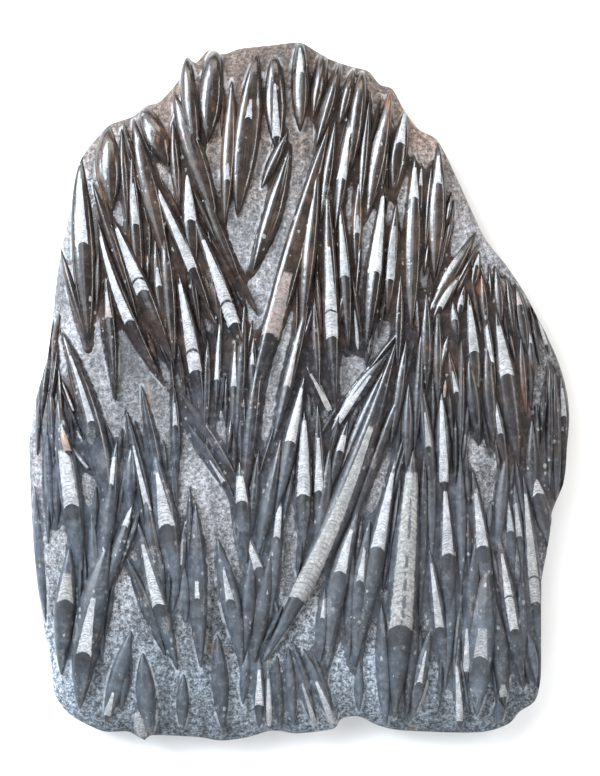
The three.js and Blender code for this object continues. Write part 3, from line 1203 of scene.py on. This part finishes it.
@dataclass
class Effects:
    """Builds each shared effect once, as a node group, and places it in the materials.

    Attributes:
        lengthwise: Colour of the stone along the slab, from the lower end up: a bluish slate at the lower end
            that is a painted reflection of soft sky light, and the stone's own dark tone, brown towards the
            top.
        brown: Colour of its brown clouds.
        rust: Colour of the iron stains.
        mottle: Colour of its fine grey mottle.
        shell: Colour of the bits of shell.
        groups: The groups made so far.
    """

    # Stops 0.0 and 0.30 are a bluish slate, a painted reflection of soft sky light; 0.50 to 1.0 are the
    # stone's own dark tone, brown towards the top.
    lengthwise: tuple[tuple[float, Colour], ...] = (
        (0.0, (0.039, 0.049, 0.062)),
        (1.0, (0.020, 0.013, 0.010)),
        (0.30, (0.037, 0.042, 0.052)),
        (0.50, (0.018, 0.016, 0.018)),
        (0.72, (0.017, 0.011, 0.009)),
    )
    brown: Colour = (0.042, 0.026, 0.019)
    rust: Colour = (0.13, 0.058, 0.030)
    mottle: Colour = (0.125, 0.128, 0.135)
    shell: Colour = (0.30, 0.30, 0.295)
    groups: dict[Effect, bpy.types.NodeTree] = field(default_factory=dict)

    def use(self, effect: Effect, place: Field, **numbers: Feed) -> dict[str, Field]:
        """Puts an effect in a sheet.

        Args:
            effect: Which effect.
            place: Place on the object.
            numbers: Its other inputs, by name.

        Returns:
            Its outputs, by name.
        """
        if effect not in self.groups:
            self.groups[effect] = self.make(effect)
        inputs = {name.capitalize(): value for name, value in numbers.items()}
        node = place.sheet.add("Group", {"Place": place, **inputs}, node_tree=self.groups[effect])
        return {socket.name: Field(place.sheet, socket) for socket in node.outputs}

    def make(self, effect: Effect) -> bpy.types.NodeTree:
        """Makes an effect's group.

        Args:
            effect: Which effect.

        Returns:
            The node group.
        """
        name, numbers, results = effect.value
        tree = bpy.data.node_groups.new(name, "ShaderNodeTree")
        sockets = [("INPUT", "Place", "Vector")]
        sockets += [("INPUT", label, "Float") for label in numbers]
        sockets += [("OUTPUT", label, "Color" if label == "Color" else "Float") for label in results]
        for way, label, kind in sockets:
            tree.interface.new_socket(label, in_out=way, socket_type="NodeSocket" + kind)
        sheet = Sheet(tree)
        entry = tree.nodes.new("NodeGroupInput")
        leaving = tree.nodes.new("NodeGroupOutput")
        recipe = {
            Effect.LIMESTONE: self.limestone,
            Effect.POLISHED: self.polished,
            Effect.GRAIN: self.grain,
            Effect.STAIN: self.stain,
            Effect.FLECKS: self.flecks,
        }[effect]
        values = recipe(*(Field(sheet, socket) for socket in entry.outputs if socket.name))
        for label, value in zip(results, values):
            sheet.feed(leaving.inputs[label], value)
        return tree

    def limestone(self, place: Field, seed: Field) -> tuple[Field]:
        """The stone's dark colour: its own warm brown at the top, and at the lower end a bluish slate that is
        a painted reflection of soft sky light.

        Args:
            place: Place on the object.
            seed: Lightness of the piece of stone, from 0 to 1.

        Returns:
            The colour.
        """
        along = place.parts()[1] + (place.noise(5.0, 3.0) - 0.5) * 0.35
        # Painted reflection: the ramp makes the stone bluish slate towards the lower end, where the polished
        # stone mirrors soft sky light.
        base = along.span(-0.42, 0.42).ramp(self.lengthwise)
        upper = along.span(-0.08, 0.12, 0.25, 0.9)
        clouds = place.noise(21.0, 3.0, 0.6).span(0.46, 0.66)
        base = base.towards(self.brown, clouds * upper)
        depth = place.noise(75.0, 4.0, 0.65).span(0.3, 0.7, 0.55, 1.55)
        return (base.shaded(depth * (seed * 0.7 + 0.65)),)

    def polished(self, place: Field, seed: Field) -> tuple[Field, Field]:
        """Polished dark stone with its flecks and rusty stains.

        Args:
            place: Place on the object.
            seed: Lightness of the piece of stone, from 0 to 1.

        Returns:
            The colour and the roughness.
        """
        x, y, _ = place.parts()
        stone = self.use(Effect.LIMESTONE, place, seed=seed)["Color"]
        stained = self.use(Effect.STAIN, place, spread=0.05)["Mask"] * y.span(-0.1, 0.1, 0.15, 0.8)
        stone = stone.towards(self.rust, stained)
        mottled = place.noise(170.0, 3.0, 0.6).span(0.5, 0.7) * y.span(0.2, -0.2, 0.1, 0.5)
        stone = stone.towards(self.mottle, mottled)
        shelly = y.span(0.1, -0.25, 0.12, 0.38)
        flecks = self.use(Effect.FLECKS, place, amount=shelly)["Mask"]
        stone = stone.towards(self.shell, flecks * 0.7)
        lower = y.span(0.02, -0.22, 0.0, 0.22)
        right = (x - y).span(0.0, 0.22, 0.0, 0.14)
        patches = place.noise(60.0, 3.0).span(0.3, 0.7, -0.04, 0.08)
        return stone, lower + right + 0.17 + patches

    def grain(self, place: Field, scale: Field, contrast: Field) -> tuple[Field, Field]:
        """Salt-and-pepper grain of broken or crystalline stone.

        Args:
            place: Place on the object.
            scale: Grains to the metre.
            contrast: How far apart the light and dark grains are.

        Returns:
            The grain's mask and its height.
        """
        height = place.noise(scale, 2.0, 0.6) * 0.62 + place.noise(scale * 2.3, 1.0) * 0.38
        mask = place.sheet.math("ADD", (height - 0.5) * contrast, 0.5, clamp=True)
        return mask, height

    def stain(self, place: Field, spread: Field) -> tuple[Field]:
        """Rare rusty stains.

        Args:
            place: Place on the object.
            spread: How far they spread.

        Returns:
            The stains' mask.
        """
        patch = place.stretch(1.0, 0.35, 1.0).noise(34.0, 3.0, 0.55)
        rusty = patch + place.noise(170.0, 2.0) * 0.16
        return ((rusty - (0.76 - spread)).span(0.0, 0.09),)

    def flecks(self, place: Field, amount: Field) -> tuple[Field]:
        """Small pale bits and arcs of broken shell scattered through the stone.

        Args:
            place: Place on the object.
            amount: Share of the places for a bit that have one.

        Returns:
            The flecks' mask.
        """
        torn = (place.noise(700.0, 2.0) - 0.5) * 0.7
        near, tag = place.stretch(1.0, 0.7, 1.0).cells(210.0)
        red, green, _ = tag.parts()
        dot = near + torn < green * green * 0.3 + 0.12
        dot = dot * place.noise(24.0).span(0.38, 0.6, 0.15, 1.0) * (red + amount > 1.0)
        near, tag = place.stretch(1.0, 0.45, 1.0).cells(62.0)
        red, green, _ = tag.parts()
        arc = (abs(near + torn - 0.25) < 0.05) * (green > 0.3) * (red + amount * 0.8 > 1.0)
        return (place.sheet.math("MAXIMUM", dot, arc * 0.5),)


# ---- finishes ----


def new_finish(name: str) -> tuple[bpy.types.Material, Sheet, bpy.types.Node]:
    """Starts a material with one shader.

    Args:
        name: Name of the material.

    Returns:
        The material, its sheet and its Principled node.
    """
    material = bpy.data.materials.new(name)
    material.use_nodes = True
    shader = next(node for node in material.node_tree.nodes if node.type == "BSDF_PRINCIPLED")
    return material, Sheet(material.node_tree), shader


@dataclass(frozen=True)
class PolishedRidge:
    """Glossy dark limestone with the cones cut open in it.

    Attributes:
        chamber_shade: How dark the lines between chambers are.
        arch: How far a wall between chambers bulges, as a share of the cone's width.
        dull_grains: What the calcite's colour is multiplied by in its darker grains.
        smoky: Colour of the calcite's dark clouds.
        wall: Colour of the lines between chambers.
        tube: Colour of the tube down the middle of a cone.
        shell: Colour of a cone's outer shell.
        streaks: Colour of the stone's pale streaks.
        mud: Colour of the stone that fills a cone's open end.
        mirror: Strength of the shader's mirror-like part.
    """

    chamber_shade: float = 0.8
    arch: float = 0.26
    dull_grains: Colour = (0.40, 0.40, 0.41)
    smoky: Colour = (0.15, 0.15, 0.155)
    wall: Colour = (0.09, 0.088, 0.09)
    tube: Colour = (0.07, 0.07, 0.08)
    shell: Colour = (0.2, 0.2, 0.2)
    # streaks: Colour of the painted pale lines along the ridge that stand in for thin highlights on its
    # polished facets.
    streaks: Colour = (0.085, 0.08, 0.08)
    mud: Colour = (0.010, 0.010, 0.011)
    mirror: float = 0.6

    def cone_mask(self, sheet: Sheet, place: Field) -> tuple[Field, Field, Field, Field]:
        """Finds the cone on the ridge.

        Args:
            sheet: The material's sheet.
            place: Place on the object.

        Returns:
            The cone's mask, the place across it from -1 to 1, its bulge and the distance from
            its wide end.
        """
        across, from_tip, from_end = sheet.reading("cone_place").parts()
        ragged = place.noise(210.0, 2.0) - 0.5
        across = across + ragged * 0.34
        bulge = 1.0 - across * across
        end = from_end - bulge * self.arch + ragged * 0.16
        mask = abs(across).span(1.0, 0.9) * end.span(0.0, 0.05) * from_tip.span(-0.05, 0.12)
        return mask, across, bulge, end

    def calcite(self, effects: Effects, place: Field, across: Field, bulge: Field) -> Field:
        """Colour of the calcite, with its chambers.

        Args:
            effects: The shared effects.
            place: Place on the object.
            across: Place across the cone.
            bulge: 1 on the cone's axis and 0 at its sides.

        Returns:
            The colour.
        """
        sheet = place.sheet
        chamber, _, tube = sheet.reading("cone_look").parts()
        crystals = effects.use(Effect.GRAIN, place, scale=300.0, contrast=3.6)["Mask"]
        tint = sheet.reading("calcite_tint")
        colour = tint.tinted(self.dull_grains).towards(tint, crystals)
        smoky = place.noise(55.0, 3.0, 0.6).span(0.40, 0.68)
        colour = colour.towards(self.smoky, smoky * 0.55)
        bent = chamber + bulge * (self.arch / CHAMBER_STEP)
        wall = abs(sheet.math("FRACT", bent) - 0.5).span(0.27, 0.45)
        faded = place.noise(130.0, 2.0).span(0.36, 0.62)
        colour = colour.towards(self.wall, wall * faded * self.chamber_shade)
        thread = abs(across - 0.1).span(0.24, 0.1) * place.noise(120.0, 2.0).span(0.4, 0.56)
        colour = colour.towards(self.tube, thread * tube)
        return colour.towards(self.shell, abs(across).span(0.66, 0.95) * 0.3)

    def build(self, effects: Effects) -> bpy.types.Material:
        """Makes the material.

        Args:
            effects: The shared effects.

        Returns:
            The material.
        """
        material, sheet, shader = new_finish("polished_ridge")
        place = sheet.place()
        own, along, side = sheet.reading("ridge_look").parts()
        mask, across, bulge, end = self.cone_mask(sheet, place)
        gap = sheet.reading("cone_look").parts()[1]
        mask = mask * abs(end - gap).span(0.07, 0.12)

        stone = effects.use(Effect.POLISHED, place, seed=own)
        grooves = sheet.field("CombineXYZ", {0: side, 1: along * 0.035, 2: own * 3.0})
        # Painted highlight: pale lines along the ridge that stand in for thin highlights on its polished
        # facets.
        painted_highlight_lines = grooves.noise(420.0, 2.0, 0.6).span(0.55, 0.75, 0.0, 0.4)
        colour = stone["Color"].towards(self.streaks, painted_highlight_lines)
        filled = end.span(0.02, -0.02) * end.span(-1.6, -0.5) * abs(across).span(1.15, 0.95)
        colour = colour.towards(self.mud, filled * 0.65)
        calcite = self.calcite(effects, place, across, bulge)
        sheet.feed(shader.inputs["Base Color"], colour.towards(calcite, mask))
        sheet.feed(shader.inputs["Roughness"], stone["Roughness"] + mask * 0.1)
        shader.inputs["Specular IOR Level"].default_value = self.mirror

        waver = place.noise(120.0, 2.0).bump(0.0012, 0.3)
        facets = grooves.noise(190.0, 1.0).bump(0.0011, 0.5, onto=waver)
        sheet.feed(shader.inputs["Normal"], facets)
        return material


@dataclass(frozen=True)
class PeckedGround:
    """Chiselled stone between the ridges, polished dark where they crowd.

    Attributes:
        grain_scale: Grains to the metre.
        contrast: How far apart the light and dark grains are, in the middle and at both ends.
        polish_start: Closeness of the ridges at which the polish starts.
        polish_full: Closeness at which it is whole.
        grains: Colours from the darkest to the palest grain.
        warm: What the colour is multiplied by at the upper end.
        cool: What it is multiplied by at the lower end.
        rust: Colour of the iron stains.
        rim: Colour of the pale rim at the feet of the ridges, partly bruised pecked stone and partly a
            painted highlight of their lit edges.
    """

    grain_scale: float = 225.0
    contrast: tuple[float, float] = (2.7, 3.8)
    polish_start: float = 0.86
    polish_full: float = 1.08
    grains: tuple[tuple[float, Colour], ...] = (
        (0.0, (0.060, 0.059, 0.061)),
        (1.0, (0.46, 0.455, 0.47)),
        (0.35, (0.15, 0.148, 0.154)),
        (0.7, (0.30, 0.295, 0.31)),
    )
    warm: Colour = (1.0, 0.69, 0.50)
    cool: Colour = (0.80, 0.92, 1.0)
    rust: Colour = (0.20, 0.12, 0.07)
    rim: Colour = (0.5, 0.52, 0.55)

    def pecked(self, place: Field, grain: Field, pale: Field) -> Field:
        """Colour of the bruised grains over the stone, with painted light that makes the ground lighter
        towards the left edge.

        Args:
            place: Place on the object.
            grain: The grain's mask.
            pale: How much paler the patch of ground is.

        Returns:
            The colour.
        """
        x, y, _ = place.parts()
        drift = place.noise(9.0, 2.0)
        streaks = place.stretch(1.0, 0.22, 1.0).noise(60.0, 3.0, 0.6)
        cloud = drift.span(0.3, 0.7, 0.58, 0.9) * streaks.span(0.32, 0.62, 0.55, 1.05)
        # Painted light: the ground grows up to 1.4 times lighter towards the left edge, where the window
        # light falls.
        left = x.span(-0.2, -0.27, 1.0, 1.4)
        dim = y.span(0.2, 0.32) * x.span(0.12, 0.0, 0.0, 0.42)
        colour = grain.ramp(self.grains).shaded(cloud * left * (1.0 - dim) * (1.0 + pale))
        warmed = y.span(0.16, 0.32) * drift.span(0.35, 0.6, 0.7, 1.0)
        colour = colour.towards(colour.tinted(self.warm), warmed)
        return colour.towards(colour.tinted(self.cool), y.span(-0.16, -0.32))

    def build(self, effects: Effects) -> bpy.types.Material:
        """Makes the material.

        Args:
            effects: The shared effects.

        Returns:
            The material.
        """
        material, sheet, shader = new_finish("pecked_ground")
        place = sheet.place()
        x, y, _ = place.parts()
        contrast = sheet.math("MAXIMUM", abs(y), x).span(0.13, 0.28, *self.contrast)
        grain = effects.use(Effect.GRAIN, place, scale=self.grain_scale, contrast=contrast)
        crowd, foot, pale = sheet.reading("ground_look").parts()
        colour = self.pecked(place, grain["Mask"], pale)
        stained = effects.use(Effect.STAIN, place, spread=0.02)["Mask"]
        colour = colour.towards(self.rust, stained * 0.35)

        # Pale broken rim at the ridges' feet: partly bruised pecked stone, partly a painted highlight
        # standing in for their lit edges.
        bruised = foot.span(0.35, 0.7, 0.0, 0.42) * place.noise(48.0, 2.0).span(0.44, 0.62)
        colour = colour.towards(self.rim, bruised)
        ragged = (place.noise(130.0, 3.0) - 0.5) * 0.5
        polish = (crowd + ragged).span(self.polish_start, self.polish_full)
        stone = effects.use(Effect.POLISHED, place, seed=0.5)
        sheet.feed(shader.inputs["Base Color"], colour.towards(stone["Color"], polish))
        matt = 1.0 - polish
        sheet.feed(shader.inputs["Roughness"], stone["Roughness"] + matt * 0.5)
        pits = (grain["Height"] * matt).bump(0.003, 0.7)
        sheet.feed(shader.inputs["Normal"], place.noise(90.0, 2.0).bump(0.0012, 0.3, onto=pits))
        return material


@dataclass(frozen=True)
class BrokenSide:
    """Rough broken stone round the side.

    Attributes:
        paler: What the stone's colour is multiplied by where it is broken.
        bruise: Colour of the bruised grains.
        rust: Colour of the iron stains.
        shell: Colour of the bits of shell.
        rough: Roughness of the stone.
    """

    paler: Colour = (2.6, 2.5, 2.4)
    bruise: Colour = (0.3, 0.3, 0.3)
    rust: Colour = (0.18, 0.10, 0.055)
    shell: Colour = (0.4, 0.4, 0.39)
    rough: float = 0.8

    def build(self, effects: Effects) -> bpy.types.Material:
        """Makes the material.

        Args:
            effects: The shared effects.

        Returns:
            The material.
        """
        material, sheet, shader = new_finish("broken_side")
        place = sheet.place()
        stone = effects.use(Effect.LIMESTONE, place, seed=0.9)["Color"].tinted(self.paler)
        grain = effects.use(Effect.GRAIN, place, scale=210.0, contrast=4.0)
        colour = stone.towards(self.bruise, grain["Mask"] * 0.6)
        stained = effects.use(Effect.STAIN, place, spread=0.06)["Mask"]
        colour = colour.towards(self.rust, stained * 0.5)
        flecks = effects.use(Effect.FLECKS, place, amount=0.12)["Mask"]
        sheet.feed(shader.inputs["Base Color"], colour.towards(self.shell, flecks))
        shader.inputs["Roughness"].default_value = self.rough
        ledges = place.stretch(1.0, 1.0, 2.5).noise(70.0, 4.0, 0.6).bump(0.004, 0.7)
        sheet.feed(shader.inputs["Normal"], grain["Height"].bump(0.002, 0.6, onto=ledges))
        return material


@dataclass(frozen=True)
class SawnBack:
    """Flat back with the saw's marks.

    Attributes:
        paler: What the stone's colour is multiplied by where it is sawn.
        shell: Colour of the bits of shell.
        mark: Colour of the saw's marks.
        mark_scale: Saw marks to the metre.
        mark_waver: How far the marks waver.
        rough: Roughness of the stone.
    """

    paler: Colour = (2.0, 2.0, 2.0)
    shell: Colour = (0.38, 0.38, 0.37)
    mark: Colour = (0.16, 0.155, 0.15)
    mark_scale: float = 60.0
    mark_waver: float = 1.5
    rough: float = 0.6

    def build(self, effects: Effects) -> bpy.types.Material:
        """Makes the material.

        Args:
            effects: The shared effects.

        Returns:
            The material.
        """
        material, sheet, shader = new_finish("sawn_back")
        place = sheet.place()
        stone = effects.use(Effect.LIMESTONE, place, seed=0.8)["Color"].tinted(self.paler)
        flecks = effects.use(Effect.FLECKS, place, amount=0.16)["Mask"]
        marks = sheet.field(
            "TexWave",
            {"Vector": place.stretch(1.0, 1.0, 0.0), "Scale": self.mark_scale, "Distortion": self.mark_waver},
            "Fac",
            wave_type="RINGS",
            rings_direction="Z",
            wave_profile="SAW",
        )
        colour = stone.towards(self.shell, flecks).towards(self.mark, marks * 0.25)
        sheet.feed(shader.inputs["Base Color"], colour)
        shader.inputs["Roughness"].default_value = self.rough
        sheet.feed(shader.inputs["Normal"], marks.bump(0.0006, 0.4))
        return material


# ---- the piece ----


@dataclass
class FossilSlab:
    """The whole stone, in one closed mesh.

    Attributes:
        shape: Outline and heights.
        effects: The shared shader effects.
        sharp_angle: Edges sharper than this are shaded as corners, in degrees.
    """

    shape: SlabShape = field(default_factory=SlabShape)
    effects: Effects = field(default_factory=Effects)
    sharp_angle: float = 40.0

    def materials(self) -> list[bpy.types.Material]:
        """Makes every finish.

        Returns:
            The slab's materials, in the order of Stone.
        """
        finishes = {
            Stone.GROUND: PeckedGround(),
            Stone.RIDGE: PolishedRidge(),
            Stone.SIDE: BrokenSide(),
            Stone.BACK: SawnBack(),
        }
        return [finishes[stone].build(self.effects) for stone in Stone]

    def build(self) -> bpy.types.Object:
        """Builds the slab, unites the ridges with it, parents it to the root body and hides the part it
        stands for.

        Returns:
            The finished piece.
        """
        materials = self.materials()
        body = mesh_object("slab_body", SlabBody(self.shape).build(), materials)
        blades = Blades().choose()
        spindles = bpy.data.collections.new("spindles")
        for carver, first, ridges in (
            (RidgeCarver(self.shape), 0, RIDGES),
            (RidgeCarver(self.shape, stations=14, arc_steps=6), len(RIDGES), blades),
        ):
            for number, ridge in enumerate(ridges, first):
                surface = carver.carve(ridge, number)
                spindles.objects.link(mesh_object(f"spindle_{number:03d}", surface, materials))
        log.info("%d ridges and %d blades", len(RIDGES), len(blades))
        mesh = self.unite(body, spindles)
        piece = bpy.data.objects.new("carved_fossil_slab", mesh)
        bpy.context.scene.collection.objects.link(piece)
        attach(piece, BODY)
        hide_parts(NODE)
        return piece

    def unite(self, body: bpy.types.Object, spindles: bpy.types.Collection) -> bpy.types.Mesh:
        """Joins the body and the spindles into one closed mesh, and removes them.

        Args:
            body: The slab without ridges.
            spindles: A collection with every ridge.

        Returns:
            The joined mesh.
        """
        scene = bpy.context.scene.collection
        scene.objects.link(body)
        scene.children.link(spindles)
        union = body.modifiers.new("unite", "BOOLEAN")
        union.operation = "UNION"
        union.operand_type = "COLLECTION"
        union.collection = spindles
        union.solver = "MANIFOLD"
        depsgraph = bpy.context.evaluated_depsgraph_get()
        joined = bpy.data.meshes.new_from_object(
            body.evaluated_get(depsgraph), preserve_all_data_layers=True, depsgraph=depsgraph
        )
        for part in [body, *spindles.objects]:
            bpy.data.meshes.remove(part.data)
        bpy.data.collections.remove(spindles)
        joined.name = "carved_fossil_slab"
        joined.shade_smooth()
        joined.set_sharp_from_angle(angle=math.radians(self.sharp_angle))
        return joined


# ---- floor, light and camera ----


@dataclass(frozen=True)
class Lamp:
    """A rectangular lamp.

    Attributes:
        name: What it is called.
        place: Where it hangs, in metres.
        size: Its width and height.
        power: Its power in watts.
        colour: Its colour.
    """

    name: str
    place: tuple[float, float, float]
    size: tuple[float, float]
    power: float
    colour: Colour


LAMPS = (
    Lamp("window", (-1.3, 0.95, 1.15), (1.4, 0.75), 72.0, (0.82, 0.91, 1.0)),
    Lamp("window_glow", (-1.2, 0.85, 1.1), (2.3, 1.9), 50.0, (0.82, 0.91, 1.0)),
    Lamp("right_fill", (1.5, 0.4, 1.15), (1.4, 0.3), 17.0, (1.0, 0.98, 0.96)),
    Lamp("far_fill", (0.2, 1.9, 1.3), (1.4, 0.8), 20.0, (1.0, 0.93, 0.84)),
    Lamp("near_fill", (0.1, -1.9, 1.3), (1.6, 0.9), 26.0, (0.94, 0.97, 1.0)),
)


@dataclass
class Studio:
    """A pale floor, soft light with a window on the left, and a camera straight above.

    Attributes:
        floor_size: Side of the floor in metres.
        lens: Focal length in millimetres.
        sensor: Long side of the sensor.
        seen_length: Length at the face's height that fills the picture's long side.
        face_height: Height of the carved face.
        aim: Place that the picture's middle shows.
        lit_height: Height that the lamps shine at.
        room_light: Strength of the room's even light.
        paper: Colour of the floor.
        paper_rough: Roughness of the floor.
    """

    floor_size: float = 8.0
    lens: float = 85.0
    sensor: float = 36.0
    seen_length: float = 0.8536
    face_height: float = 0.045
    aim: tuple[float, float] = (0.0011, 0.0038)
    lit_height: float = 0.03
    room_light: float = 0.33
    paper: Colour = (0.9, 0.9, 0.9)
    paper_rough: float = 0.9

    def floor(self) -> None:
        """Lays the floor under the slab."""
        half = self.floor_size / 2
        mesh = bpy.data.meshes.new("floor")
        corners = [(-half, -half, 0.0), (half, -half, 0.0), (half, half, 0.0), (-half, half, 0.0)]
        mesh.from_pydata(corners, [], [(0, 1, 2, 3)])
        material, _, shader = new_finish("floor_paper")
        shader.inputs["Base Color"].default_value = (*self.paper, 1.0)
        shader.inputs["Roughness"].default_value = self.paper_rough
        mesh.materials.append(material)
        floor = bpy.data.objects.new("floor", mesh)
        bpy.context.scene.collection.objects.link(floor)

    def hang(self, lamp: Lamp) -> None:
        """Hangs a lamp that shines at the slab.

        Args:
            lamp: The lamp.
        """
        data = bpy.data.lights.new(lamp.name, "AREA")
        data.shape = "RECTANGLE"
        data.size, data.size_y = lamp.size
        data.energy = lamp.power
        data.color = lamp.colour
        hung = bpy.data.objects.new(lamp.name, data)
        hung.location = lamp.place
        way = Vector((0, 0, self.lit_height)) - Vector(lamp.place)
        hung.rotation_euler = way.to_track_quat("-Z", "Y").to_euler()
        bpy.context.scene.collection.objects.link(hung)

    def lights(self) -> None:
        """Sets the room's even light and hangs every lamp."""
        world = bpy.data.worlds.new("room")
        world.use_nodes = True
        background = world.node_tree.nodes["Background"]
        background.inputs["Color"].default_value = (1.0, 1.0, 1.0, 1.0)
        background.inputs["Strength"].default_value = self.room_light
        bpy.context.scene.world = world
        for lamp in LAMPS:
            self.hang(lamp)

    def camera(self) -> None:
        """Hangs the camera straight above the slab."""
        data = bpy.data.cameras.new("camera")
        data.lens = self.lens
        data.sensor_fit = "AUTO"
        data.sensor_width = self.sensor
        distance = self.seen_length * self.lens / self.sensor
        camera = bpy.data.objects.new("camera", data)
        camera.location = (*self.aim, self.face_height + distance)
        bpy.context.scene.collection.objects.link(camera)
        bpy.context.scene.camera = camera

    def build(self) -> None:
        """Sets up the whole studio."""
        self.floor()
        self.lights()
        self.camera()
        bpy.context.scene.view_settings.view_transform = "Standard"


def main() -> None:
    """Builds the slab and the studio."""
    logging.basicConfig(level=logging.INFO, format="%(name)s: %(message)s")
    slab = FossilSlab().build()
    log.info("%s: %d faces from %d ridges", slab.name, len(slab.data.polygons), len(RIDGES))
    Studio().build()
    log.info("studio ready")


if __name__ == "__main__":
    main()
